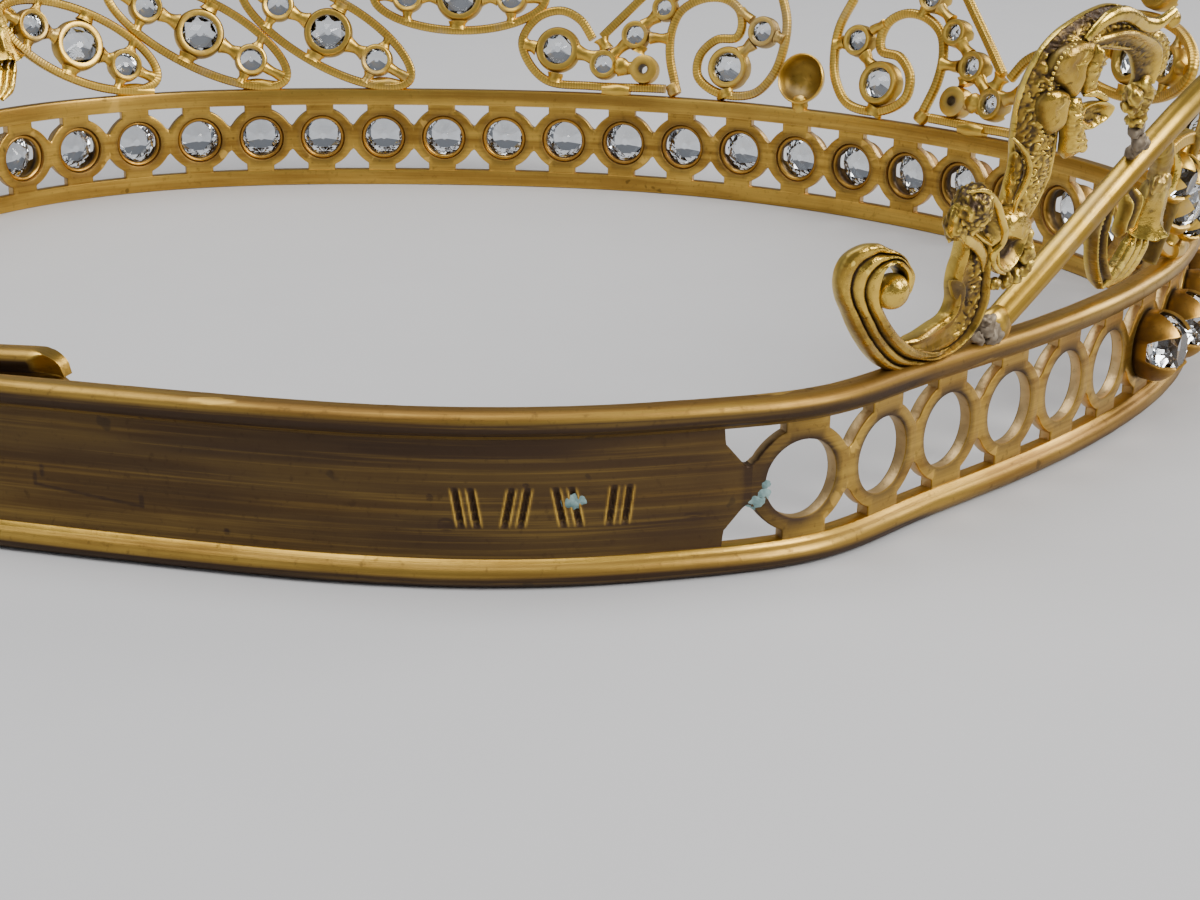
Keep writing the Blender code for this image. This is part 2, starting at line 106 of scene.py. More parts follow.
def on_plan(phi):
    r = plan_radius(phi)
    return np.stack([-r * np.sin(phi), -r * np.cos(phi)], -1)


PHI = np.linspace(-math.pi, math.pi, 7201)
ARC = running(on_plan(PHI))
ARC = ARC - np.interp(0.0, PHI, ARC)
GIRTH = ARC[-1] - ARC[0]


def unit(v):
    return v / np.maximum(np.linalg.norm(v, axis=-1, keepdims=True), 1e-12)


def plan(u):
    """Plan position and outward normal at arc length u from the front, positive towards -X."""
    phi = np.interp((np.asarray(u, float) - ARC[0]) % GIRTH + ARC[0], ARC, PHI)
    d = unit(on_plan(phi + 0.002) - on_plan(phi - 0.002))
    return on_plan(phi), np.stack([-d[..., 1], d[..., 0]], -1)


def at(u, z, o, lap=False):
    """Points at arc length u, height z and distance o outside the middle of the sheet."""
    u, z, o = np.broadcast_arrays(np.asarray(u, float), z, o)
    base, out = plan(u)
    lean = np.maximum(0.0, z - BAND_H) * math.tan(FLARE)
    reach = o + (lap_shift(u) if lap else lean)
    height = z + (LAP_RISE * clip01((LAP_FULL - u) / (LAP_FULL - END_INNER)) ** 2 if lap else 0.0)
    return np.concatenate([base + out * reach[..., None], np.asarray(height, float)[..., None]], -1)


def on(uzo, rise=0.0):
    """The points of an array of (u, z, o), raised outwards."""
    return at(uzo[..., 0], uzo[..., 1], uzo[..., 2] + rise)


def lap_shift(v):
    """How far inside the outer end the inner end of the strip lies."""
    t = clip01((LAP_START - v) / (LAP_START - LAP_FULL))
    first = -2.7 * t * t * (3 - 2 * t)
    return first - 3.5 * np.clip((LAP_FULL - v) / (LAP_FULL - END_INNER), 0, 1.1)


# ---- deterministic noise ----
def lattice(p, seed):
    """Smooth value noise in -1..1 at the points p (n, 3)."""
    q = np.floor(p).astype(np.int64)
    f = p - q
    f = f * f * (3 - 2 * f)
    total = np.zeros(p.shape[:-1])
    for i in range(8):
        c = np.array([i & 1, i >> 1 & 1, i >> 2 & 1])
        h = (q + c) @ np.array([73856093, 19349663, 83492791]) + seed * 2654435
        h = (h ^ (h >> 13)) * 1274126177 & 0xFFFFFFF
        h = (h ^ (h >> 11)) * 668265263 & 0xFFFFFFF
        w = np.prod(np.where(c, f, 1 - f), axis=-1)
        total += w * (h / 0x7FFFFFF - 1.0)
    return total


def noise(seed, *xyz):
    """The same noise, from coordinates that broadcast together."""
    return lattice(np.stack(np.broadcast_arrays(*xyz), -1), seed)


def wobble(x, seed, amount):
    """A slow unevenness along a length."""
    rng = np.random.default_rng(seed)
    total = np.zeros_like(np.asarray(x, float))
    for k in range(5):
        total += math.pow(0.7, k) * np.sin(x * (0.05 + 0.09 * k + 0.05 * rng.random()) + 6.28 * rng.random())
    return total * amount / 2.2


# ---- mesh kit ----
METRES_PER_MM = 0.001
RAYS, RAY_LIFT, LOWEST_RAY = 26, 4e-5, 0.12


class Build:
    """Collects points and faces, with the coordinates and the dirt and painted shade that the materials read."""

    def __init__(self):
        self.points, self.faces, self.dev, self.dirt, self.mats, self.count = [], [], [], [], [], 0

    def add(self, points, faces, dev=None, dirt=0.0, mat=0):
        points = np.asarray(points, float).reshape(-1, 3)
        self.points.append(points)
        self.dev.append(points if dev is None else np.asarray(dev, float).reshape(-1, 3))
        self.dirt.append(np.broadcast_to(np.asarray(dirt, float).reshape(-1), (len(points),)))
        for f in faces:
            self.faces.append([int(i) + self.count for i in f])
            self.mats.append(mat)
        self.count += len(points)

    def grid(self, p, dev=None, dirt=0.0, wrap=(False, False), caps=False, skip=None, mat=0, row_mat=()):
        """p (rows, columns, 3). Caps close the first and the last row. row_mat: rows that take material 1."""
        n, m = p.shape[:2]
        rows = np.arange(n if wrap[0] else n - 1)
        cols = np.arange(m if wrap[1] else m - 1)
        i, j = np.meshgrid(rows, cols, indexing="ij")
        i2, j2 = (i + 1) % n, (j + 1) % m
        quads = np.stack([i * m + j, i * m + j2, i2 * m + j2, i2 * m + j], -1).reshape(-1, 4)
        mats = np.where(np.isin(i, row_mat), 1, mat).reshape(-1)
        if skip is not None:
            kept = ~skip[i, j].reshape(-1)
            quads, mats = quads[kept], mats[kept]
        faces = quads.tolist()
        if caps:
            faces += [list(range(m))[::-1], [(n - 1) * m + k for k in range(m)]]
        if np.ndim(dirt):
            dirt = np.broadcast_to(dirt, (n, m))
        self.add(p, faces, dev, dirt, mat)
        self.mats[-len(faces):] = mats.tolist() + [mat] * (len(faces) - len(mats))

    def finish(self, name, materials, nodes=(), slot="brass", smooth=38.0, weld=0.0, hollow_shade_and_grime=0.0):
        mesh = bpy.data.meshes.new(name)
        points = (np.concatenate(self.points) + SHIFT) * METRES_PER_MM
        mesh.from_pydata(points.tolist(), [], self.faces)
        mesh.polygons.foreach_set("material_index", self.mats)
        put = mesh.attributes.new("dev", "FLOAT_VECTOR", "POINT")
        put.data.foreach_set("vector", np.concatenate(self.dev).astype(np.float32).ravel())
        # This attribute holds real dirt and painted shade alike; the metals darken by it.
        put = mesh.attributes.new("dirt", "FLOAT", "POINT")
        put.data.foreach_set("value", np.concatenate(self.dirt).astype(np.float32))
        bm = bmesh.new()
        bm.from_mesh(mesh)
        if weld:
            bmesh.ops.remove_doubles(bm, verts=bm.verts, dist=weld)
        bmesh.ops.dissolve_degenerate(bm, edges=bm.edges, dist=1e-7)
        bmesh.ops.recalc_face_normals(bm, faces=bm.faces)
        # Painted shade and grime in hollows, from rays cast over the mesh.
        if hollow_shade_and_grime:
            shade_and_grime_in_hollows(bm, hollow_shade_and_grime)
        bm.to_mesh(mesh)
        bm.free()
        if smooth:
            mesh.polygons.foreach_set("use_smooth", np.ones(len(mesh.polygons), bool))
            mesh.set_sharp_from_angle(angle=math.radians(smooth))
        for m in materials if isinstance(materials, (list, tuple)) else [materials]:
            mesh.materials.append(m)
        obj = bpy.data.objects.new(name, mesh)
        bpy.context.scene.collection.objects.link(obj)
        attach(obj, "root")
        if nodes:
            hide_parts(*nodes)


def shade_and_grime_in_hollows(bm, amount, reach=0.0016):
    """Adds painted shade and grime to each vertex by how much of the sky above it nearby metal hides."""
    i = np.arange(RAYS) + 0.5
    tilt, turn = np.arccos(1 - 2 * i / RAYS), math.pi * (1 + 5 ** 0.5) * i
    rays = [Vector((math.cos(t) * math.sin(k), math.sin(t) * math.sin(k), math.cos(k))) for k, t in zip(tilt, turn)]
    bm.verts.ensure_lookup_table()
    bm.normal_update()
    layer = bm.verts.layers.float["dirt"]
    tree = BVHTree.FromBMesh(bm)
    for v in bm.verts:
        normal, start, sky, hidden = v.normal, v.co + v.normal * RAY_LIFT, 0.0, 0.0
        for ray in rays:
            face = normal.dot(ray)
            if face > LOWEST_RAY:
                sky += face
                hit = tree.ray_cast(start, ray, reach)
                if hit[0] is not None:
                    hidden += face * (1 - 0.5 * hit[3] / reach)
        share = hidden / max(sky, 1e-6)
        v[layer] = min(1.0, v[layer] + amount * min(1.0, max(0.0, share - 0.12) * 1.6))


def resample(points, step, closed=False):
    """Centripetal Catmull-Rom through the points, at an even spacing."""
    p = np.asarray(points, float)
    if closed:
        p = np.concatenate([p[-1:], p, p[:2]])
    else:
        p = np.concatenate([2 * p[:1] - p[1:2], p, 2 * p[-1:] - p[-2:-1]])
    out = []
    for four in zip(p, p[1:], p[2:], p[3:]):
        knots = [0.0]
        for a, b in zip(four, four[1:]):
            knots.append(knots[-1] + max(1e-6, np.linalg.norm(b - a)) ** 0.5)
        t = np.linspace(knots[1], knots[2], 25)[:-1, None]
        level = four
        for spans in (((0, 1), (1, 2), (2, 3)), ((0, 2), (1, 3)), ((1, 2),)):
            ends = [(a, b, knots[i], knots[j]) for a, b, (i, j) in zip(level, level[1:], spans)]
            level = [(t1 - t) / (t1 - t0) * a + (t - t0) / (t1 - t0) * b for a, b, t0, t1 in ends]
        out.append(level[0])
    q = np.concatenate(out + [p[-2:-1]])
    s = running(q)
    n = max(4, int(round(s[-1] / step)))
    want = np.linspace(0, s[-1], n + 1)
    if closed:
        want = want[:-1]
    return np.stack([np.interp(want, s, q[:, k]) for k in range(q.shape[1])], 1)


def frames(path, closed=False):
    """3-D points, side and outward directions and running length of a (u, z, o) path."""
    p = on(path)
    if closed:
        t = unit(np.roll(p, -1, 0) - np.roll(p, 1, 0))
    else:
        t = unit(np.gradient(p, axis=0))
    out = unit(on(path, 1.0) - p)
    side = unit(np.cross(out, t))
    out = np.cross(t, side)
    return p, side, out, running(p)


def sweep(b, path, profile, closed=False, dirt=0.0, rough=0.0):
    """profile: (m, 2) or (n, m, 2) of (side, outward) offsets."""
    p, side, out, s = frames(path, closed)
    prof = np.broadcast_to(np.asarray(profile, float), (len(p),) + np.shape(profile)[-2:])
    v = p[:, None] + side[:, None] * prof[..., :1] + out[:, None] * prof[..., 1:]
    if rough:
        push = unit(v - p[:, None])
        v = v + push * (lattice(v * 2.6, 5) * 0.6 + lattice(v * 5.5, 9) * 0.4)[..., None] * rough
    around = np.cumsum(np.concatenate([np.zeros((len(p), 1)), np.linalg.norm(np.diff(prof, axis=1), axis=2)], 1), 1)
    dev = np.stack([np.broadcast_to(s[:, None], around.shape), around, prof[..., 1]], -1)
    b.grid(v, dev, dirt, (closed, True), caps=not closed)


def raised(o, points):
    """(u, z) points, all at one distance outwards."""
    return [(u, z, o) for u, z in points]


def mirror(points, s):
    return [(s * p[0],) + tuple(p[1:]) for p in points]


def graph(x, rows):
    """Straight lines between (x, y) rows."""
    return np.interp(x, *np.array(rows, float).T)


def bezier(control, n):
    t = np.linspace(0, 1, n + 1)[:, None]
    c = np.asarray(control, float)
    return (1 - t) ** 3 * c[0] + 3 * (1 - t) ** 2 * t * c[1] + 3 * (1 - t) * t * t * c[2] + t ** 3 * c[3]


def seat(u, z, o=0.0):
    """A point on the surface or raised from it, with its along, up and outward directions."""
    out = plan(np.array([u]))[1][0]
    lean = FLARE if z > BAND_H else 0.0
    level, up0 = np.array([out[0], out[1], 0.0]), np.array([0.0, 0.0, 1.0])
    along = unit(np.cross(up0, level))
    up = up0 * math.cos(lean) + level * math.sin(lean)
    axis = np.cross(along, up)
    if axis @ level < 0:
        axis = -axis
    return at(np.array([u]), z, 0.0)[0] + axis * o, along, up, axis


def ring_at(place, r, turn, o):
    """Points round the outward axis of a seat."""
    c, along, up, axis = place
    return c + along * (r * np.cos(turn))[:, None] + up * (r * np.sin(turn))[:, None] + axis * o


def turned(b, place, rows, n=24, dirt=0.0, closed=True):
    """A lathe shape on a seat. rows: (radius, offset) or (radius array, offset array)."""
    rings = [ring_at(place, r, turns(n), np.broadcast_to(o, (n,))[:, None]) for r, o in rows]
    shade = np.asarray(dirt)[:, None] if np.ndim(dirt) else dirt
    b.grid(np.array(rings), None, shade, (closed, True), caps=not closed)


# ---- materials ----
class Nodes:
    """A node material, with the few kinds of node that these materials use."""

    def __init__(self, name):
        self.mat = bpy.data.materials.new(name)
        self.mat.use_nodes = True
        self.tree = self.mat.node_tree
        self.shader = self.tree.nodes["Principled BSDF"]
        self.place = self.make("ShaderNodeTexCoord").outputs["Object"]

    def put(self, socket, v):
        """Gives an input a value, or links another node's output to it."""
        if isinstance(v, bpy.types.NodeSocket):
            self.tree.links.new(v, socket)
        elif isinstance(v, tuple) and len(v) < len(socket.default_value):
            socket.default_value = v + (1.0,)
        else:
            socket.default_value = v

    def shade(self, name, v):
        self.put(self.shader.inputs[name], v)

    def make(self, kind, inputs=(), **settings):
        n = self.tree.nodes.new(kind)
        for k, v in settings.items():
            setattr(n, k, v)
        for k, v in dict(inputs).items():
            self.put(n.inputs[k], v)
        return n

    def attribute(self, name, output):
        return self.make("ShaderNodeAttribute", attribute_name=name, attribute_type="GEOMETRY").outputs[output]

    def noise(self, vector, scale, detail=4.0, rough=0.55, stretch=None):
        if stretch:
            vector = self.make("ShaderNodeMapping", {"Vector": vector, "Scale": stretch}).outputs["Vector"]
        inputs = {"Vector": vector, "Scale": scale, "Detail": detail, "Roughness": rough}
        return self.make("ShaderNodeTexNoise", inputs).outputs[0]

    def ramp(self, value, low, high, to=(0.0, 1.0)):
        inputs = {"Value": value, "From Min": low, "From Max": high, "To Min": to[0], "To Max": to[1]}
        return self.make("ShaderNodeMapRange", inputs, interpolation_type="SMOOTHSTEP").outputs["Result"]

    def math(self, kind, a, b):
        return self.make("ShaderNodeMath", {0: a, 1: b}, operation=kind, use_clamp=kind != "SUBTRACT").outputs[0]

    def add(self, a, b):
        return self.math("ADD", a, b)

    def mul(self, a, b):
        return self.math("MULTIPLY", a, b)

    def mix(self, factor, a, b):
        return self.make("ShaderNodeMix", {"Factor": factor, 6: a, 7: b}, data_type="RGBA").outputs[2]


# Tones shared by the metals, and how many of each kind of mark there are to a metre.
# The first tone is the dark brown of real patina, used for painted shade as well.
PATINA_AND_SHADE, DULL_GREY = (0.04, 0.02, 0.006), (0.42, 0.37, 0.3)
PIT_BROWN, CRUST_GREEN = (0.03, 0.018, 0.01), (0.36, 0.5, 0.47)
SPECKS, BLOTCHES, DULL_SPOTS, PIN_PITS, CRUST_SPOTS = 1500.0, 95.0, 150.0, 420.0, 210.0


def brass(name, light, dark, patina_and_shade=PATINA_AND_SHADE, rough=(0.26, 0.5), streak=0.0, stain=(0.45, 0.75), grain=0.25, bump=0.12,
        green=0.72, edge=0.5, grey=0.0, pits=0.0):
    """Aged brass: light on worn edges, darker in blotches and streaks, brown in hollows and where the mesh paints
    dirt and shade, a little verdigris.
    """
    n = Nodes(name)
    dirt = n.attribute("dirt", "Fac")
    fine = n.noise(n.place, SPECKS, 4.0, 0.6)
    blotch = n.ramp(n.noise(n.place, BLOTCHES, 5.0, 0.6), stain[0], stain[1])
    height = fine
    if streak:
        dev = n.attribute("dev", "Vector")
        lines = n.noise(dev, 1.0, 6.0, 0.65, (0.035, 2.6, 2.6))
        broad = n.noise(dev, 1.0, 4.0, 0.55, (0.03, 0.42, 0.42))
        blotch = n.add(n.mul(blotch, 0.35), n.mul(n.ramp(broad, 0.4, 0.62), 0.65))
        blotch = n.add(blotch, n.mul(n.ramp(lines, 0.35, 0.7), streak))
        height = n.add(n.mul(fine, 0.5), n.mul(lines, 0.6))
    speck = n.ramp(fine, 0.56, 0.74)
    colour = n.mix(n.mul(speck, grain), n.mix(blotch, light, dark), patina_and_shade)
    point = n.make("ShaderNodeNewGeometry").outputs["Pointiness"]
    # hide: dirt and painted shade from the mesh's attribute and from concave spots, mixed towards the dark brown
    # tone.
    hide = n.add(dirt, n.mul(n.ramp(point, 0.485, 0.42), 0.55))
    hide = n.mul(hide, n.ramp(lines if streak > 0.4 else fine, 0.3, 0.52, (0.86, 1.0)))
    bright = n.mul(n.mul(n.ramp(point, 0.515, 0.57), edge), n.math("SUBTRACT", 1.0, dirt))
    shine = tuple(min(1.0, c * 1.18 + 0.02) for c in light)
    colour = n.mix(bright, n.mix(hide, colour, patina_and_shade), shine)
    r = n.ramp(n.add(n.mul(blotch, 0.6), n.mul(speck, 0.4)), 0.0, 1.0, rough)
    r = n.add(r, n.mul(hide, 0.22))
    if grey:
        dull = n.mul(n.ramp(n.noise(n.place, DULL_SPOTS, 5.0, 0.65), 0.52, 0.66), grey)
        colour = n.mix(dull, colour, DULL_GREY)
        r = n.add(r, n.mul(dull, 0.2))
    if pits:
        spots = n.ramp(n.noise(n.place, PIN_PITS, 2.0, 0.5), 0.715, 0.75)
        colour = n.mix(n.mul(spots, pits), colour, PIT_BROWN)
    verd = n.ramp(n.noise(n.place, CRUST_SPOTS, 4.0, 0.6), green, green + 0.035)
    n.shade("Base Color", n.mix(n.mul(verd, 0.8), colour, CRUST_GREEN))
    n.shade("Metallic", n.math("SUBTRACT", 1.0, n.add(n.mul(hide, 0.45), verd)))
    n.shade("Roughness", r)
    n.shade("Normal", n.make("ShaderNodeBump", {"Strength": bump, "Distance": 0.00012,
        "Height": height}).outputs["Normal"])
    return n.mat


def mottled(name, first, second, rough, scale, detail=3.0, grain=0.55, span=(0.3, 0.7), **more):
    """A plain material that drifts between two tones. more: further values on the shader."""
    n = Nodes(name)
    tone = n.ramp(n.noise(n.place, scale, detail, grain), span[0], span[1])
    n.shade("Base Color", n.mix(tone, first, second))
    n.shade("Roughness", rough)
    for socket, v in more.items():
        n.shade(socket, v)
    return n.mat


def tinted(colour, share):
    return tuple(c * share for c in colour)


BAND = brass("aged_band", (0.69, 0.435, 0.083), (0.34, 0.185, 0.034), patina_and_shade=(0.046, 0.023, 0.009),
    rough=(0.28, 0.46), streak=0.45, stain=(0.4, 0.72), grain=0.4, bump=0.25, green=0.735, edge=0.8, pits=0.5)
RAIL = brass("worn_rail", (0.66, 0.43, 0.078), (0.32, 0.19, 0.028), rough=(0.3, 0.46), streak=0.35,
    stain=(0.42, 0.72), grain=0.3, bump=0.25, green=0.73, edge=0.6, grey=0.18)
WIRE = brass("dull_wire", (0.68, 0.44, 0.08), (0.36, 0.21, 0.032), rough=(0.34, 0.52), stain=(0.42, 0.75), grain=0.3,
    bump=0.2, green=0.76, edge=0.6, grey=0.3)
CAST = brass("cast_brass", (0.9, 0.6, 0.105), (0.29, 0.165, 0.025), rough=(0.17, 0.36), stain=(0.34, 0.66), grain=0.7,
    bump=0.7, green=0.72, edge=0.9, grey=0.16)
CUP = brass("brown_cup", (0.48, 0.27, 0.048), (0.18, 0.08, 0.014), rough=(0.32, 0.55), stain=(0.35, 0.65), grain=0.5,
    bump=0.3, green=0.78, edge=0.8)
SOLDER = brass("grey_solder", (0.4, 0.34, 0.26), (0.26, 0.21, 0.15), rough=(0.45, 0.7), stain=(0.4, 0.6), grain=0.4,
    bump=0.8, green=0.7, edge=0.5)
# The cut walls of the cells: bare brass, lighter than the band, made lighter still as painted light on these walls.
RAW_EDGE_PAINTED_LIGHT = brass("raw_edge_painted_light", (0.8, 0.56, 0.26), (0.5, 0.33, 0.13), rough=(0.38, 0.55), stain=(0.4, 0.7), grain=0.5,
    bump=0.6, edge=0.3)
GLASS_TINT = (0.86, 0.9, 0.94)
STONE = mottled("clear_glass", GLASS_TINT, tinted(GLASS_TINT, 0.9), 0.02, 160.0, span=(0.4, 0.7),
    **{"IOR": 1.56, "Transmission Weight": 1.0})
VERDIGRIS = mottled("verdigris", (0.1, 0.18, 0.18), (0.27, 0.39, 0.38), 0.9, 900.0, 5.0, 0.6, (0.35, 0.7))


# ---- the band: pierced sheet, plain back and both rims ----
PIERCED_DARK = (112.0, 36.0)  # the pierced part and the rims darken from the first length over the second
RIM_DARK = (126.0, 14.0)
RIM_H, SLANT = 2.1, 2.6
STROKE_RUN = (19.2 * PITCH, 21.5 * PITCH, 0.11)  # stretches of the plain back with closer sections: from, to, step
SCRATCH_RUN = (187.0, 206.0, 0.16)


def cell_outline():
    """Outer boundary of one pierced cell about its hole, and what each point borders: 0 a neighbour, 1 a
    gap, 2 a rim. The gap punch sits a little to one side, so one shoulder is narrower."""
    half, waist, rim = PITCH / 2, 1.6, 4.85
    quarters = []
    for pad, ring, last in ((1.55, 4.04, 67.0), (2.1, 4.1, 59.0)):
        q = [(half, z, 0) for z in np.linspace(0, waist, 4)[:-1]]
        q += [(half, waist, 1), (half - 0.1, waist + 0.03, 1), (half - 0.19, waist + 0.14, 1)]
        for t in np.linspace(0, 1, 10):
            a, r = math.radians(26.5 + (last - 26.5) * t), ring + 0.14 * (1 - t) ** 2
            q.append((r * math.cos(a), r * math.sin(a), 1))
        q += [(pad, ring * math.sin(math.radians(last)) + 0.16, 1), (pad, 4.2, 1), (pad, 4.62, 1)]
        q += [(x, rim, 2) for x in np.linspace(pad, 0, 4)]
        quarters.append(np.array(q))
    top = np.concatenate([quarters[0], quarters[1][::-1][1:] * [-1, 1, 1]])
    low = top[::-1][1:-1] * [1, -1, 1]
    return np.concatenate([top, low])


def pierced(b):
    """The cells of the pierced part, each a closed ring of layers round its hole, open where it meets the next."""
    ring = cell_outline()
    x, z, kind = ring.T
    reach = np.hypot(x, z)
    dx, dz = x / reach, z / reach
    wall = HALF_T - BEVEL
    joined = kind == 0
    inset = reach - BEVEL
    worn, lip = BEVEL * 0.3, HOLE_R + BEVEL
    layers = [(HOLE_R, wall), (HOLE_R + worn, HALF_T - worn), (lip, HALF_T), ((lip + inset) / 2, HALF_T + 0.02),
        (inset, HALF_T), (reach - BEVEL * np.where(kind == 1, 0.3, 0.0), HALF_T - worn * (kind == 1)),
        (reach, np.where(kind == 1, wall, HALF_T))]
    front = len(layers)
    layers += [(r, -np.asarray(o)) for r, o in reversed(layers)]
    for k in range(-LAST_HOLE, LAST_HOLE + 1):
        c = k * PITCH
        u = np.array([c + r * dx for r, o in layers])
        h = np.array([BAND_H / 2 + r * dz for r, o in layers])
        o = np.array([np.broadcast_to(o, x.shape) for r, o in layers])
        p = at(u, h, o)
        dirt = np.full(p.shape[:2], 0.12 + 0.3 * min(1.0, max(0.0, (abs(c) - PIERCED_DARK[0]) / PIERCED_DARK[1])))
        # Painted shade and dirt: a dark line round each hole's front and back edges, and the upper inside of each
        # hole darker.
        dirt[[1, 2, -2, -3]] += 0.45
        dirt[:3] += 0.5 * clip01(dz) ** 2
        if k == LAST_HOLE:
            dirt[:front] += 0.55 * np.clip(dx + 0.3, 0, 1.3) / 1.3
            dirt[front - 2:front] += 0.6 * clip01(dx) ** 3
        skip = np.zeros(p.shape[:2], bool)
        ends = ((k == LAST_HOLE) & (x > 0)) | ((k == -LAST_HOLE) & (x < 0))
        skip[front - 1] = joined & np.roll(joined, -1) & ~ends
        rows = (front - 1, len(layers) - 1)
        b.grid(p, np.stack([u, h, o], -1), clip01(dirt), (True, True), skip=skip, row_mat=rows)


# The plain back: strokes (hole number, lean), and a scratch with its ticks and pits (along, up, radius).
STROKES = ((20.95, 0.16), (20.53, -0.18), (20.1, 0.2), (19.66, -0.12))
STROKE_Z, STROKE_GAP = 5.9, 0.55
SCRATCH_FROM, SCRATCH_TO = 204.6, 196.1
TICKS = ((204.5, 5.6), (196.2, 4.7), (203.9, 6.3))
PITS = ((189.8, 3.0, 0.2), (175.1, 6.6, 0.2), (174.0, 4.6, 0.42), (168.5, 7.6, 0.15), (156.6, 4.6, 0.2))


def strokes(u, z):
    """Rise and fall of the slanted punch strokes on the plain back: four leaning pairs, not letters."""
    depth = np.zeros(np.broadcast(u, z).shape)
    for c, lean in STROKES:
        for d in (-STROKE_GAP, STROKE_GAP):
            x = (u - c * PITCH - d) - (z - STROKE_Z) * lean
            inside = clip01(1.2 - np.abs((z - STROKE_Z) / 1.45) ** 4)
            depth += inside * (0.07 * gauss(np.abs(x) - 0.31, 0.09) - 0.22 * gauss(x, 0.17))
    return depth


def scratch(u, z, o, dirt):
    """A long fine scratch with three short ticks near its ends, and five small pits. Changes o and dirt."""
    t = clip01((SCRATCH_FROM - u) / 8.5)
    line = gauss(z - 5.2 + 0.9 * t, 0.075) * ((u < SCRATCH_FROM) & (u > SCRATCH_TO))
    ticks = sum(np.exp(-((u - a) / 0.1) ** 2 - ((z - c) / 0.45) ** 4) for a, c in TICKS)
    cut = clip01(line + ticks)
    pits = clip01(sum(gauss((u - a) ** 2 + (z - c) ** 2, r ** 2) for a, c, r in PITS))
    o -= 0.04 * cut + 0.06 * pits
    dirt += 0.35 * cut + 0.5 * pits


def plain_back(b, s):
    """The unpierced end of the strip as one tube of sections, from the point at the last hole to its end."""
    edge = (LAST_HOLE + 0.5) * PITCH
    end = END_OUTER if s > 0 else -END_INNER + 0.9
    first = edge + CHEVRON
    runs = [np.linspace(edge - 0.04, first + 0.1, 28), np.arange(first + 0.6, end - 0.5, 0.8), [end - 0.4, end]]
    if s > 0:
        runs += [np.arange(*STROKE_RUN), np.arange(*SCRATCH_RUN)]
    v = np.unique(np.concatenate(runs))
    nf, nb = (74, 10) if s > 0 else (24, 10)
    t, t_back = np.linspace(-1, 1, nf), np.linspace(1, -1, nb)
    half = graph(v - edge, ((0, 1.6), (0.16, 1.5), (0.38, 1.53), (0.62, 1.74), (1.84, 3.18), (2, 3.32), (2.06, 4.68)))
    if s < 0:
        half = half - 3.0 * (1 - np.sqrt(1 - clip01((v - (end - 3.0)) / 3.0) ** 2))
    wall = HALF_T - BEVEL
    z = [np.concatenate([t * (h - BEVEL), [h, h], t_back * (h - BEVEL), [-h, -h]]) for h in half]
    z = np.array(z) + BAND_H / 2
    o = np.concatenate([np.full(nf, HALF_T), [wall, -wall], np.full(nb, -HALF_T), [-wall, wall]])
    o = np.broadcast_to(o, z.shape)
    u = np.broadcast_to((s * v)[:, None], z.shape)
    away = v[:, None] - edge
    # Painted dark reflection with smudges: the plain back is darkened nearly all over, blotched by the noise, and
    # darker still where it meets the pierced part.
    film = noise(31, u * 0.045, z * 0.28, 0) + 0.5 * noise(32, u * 0.12, z * 1.1, 0)
    dirt = np.clip(0.98 - 0.15 * clip01((v[:, None] - 160) / 45) + 0.09 * film, 0.6, 1.05)
    dirt = dirt * (0.94 + 0.06 * clip01(away / 3.0)) + 0.25 * gauss(away, 0.5)
    if s > 0:
        o, sunk = o.copy(), strokes(u[:, :nf], z[:, :nf])
        o[:, :nf] += sunk
        scratch(u[:, :nf], z[:, :nf], o[:, :nf], dirt[:, :nf])
        # Painted shade in the stroke grooves; the raised edges beside them are kept clear.
        dirt[:, :nf] = np.clip(dirt[:, :nf] * (1 - clip01(sunk * 13)) + np.clip(-sunk * 2.6, 0, 0.6), 0, 1.05)
    o = o + wobble(u * 1.3 + z * 0.6, 11, 0.03) * clip01((v[:, None] - first) / 5)
    b.grid(at(u, z, o, lap=True), np.stack([u, z, o], -1), dirt, (False, True), caps=True)


def rim_profile():
    """Half-round roll with a narrow sloping fillet on the sheet's side: (o, z, facing up) for the lower rim. Facing
    up sets the painted shade.
    """
    a = np.linspace(-90, 64, 15) * math.pi / 180
    roll = [(0.45 + math.cos(t), 0.92 + 0.92 * math.sin(t), math.sin(t)) for t in a]
    fillet = [(0.82, 1.82, 0.8), (0.63, 2.04, 0.8), (0.54, 2.1, 0.9)]
    inner = [(-0.5, 2.1, 0.9), (-0.58, 2.05, 0), (-0.6, 1.95, 0), (-0.6, 0.3, 0), (-0.52, 0.08, -0.6),
        (-0.3, 0.0, -1), (0.1, 0.0, -1)]
    return np.array(roll + fillet + inner)


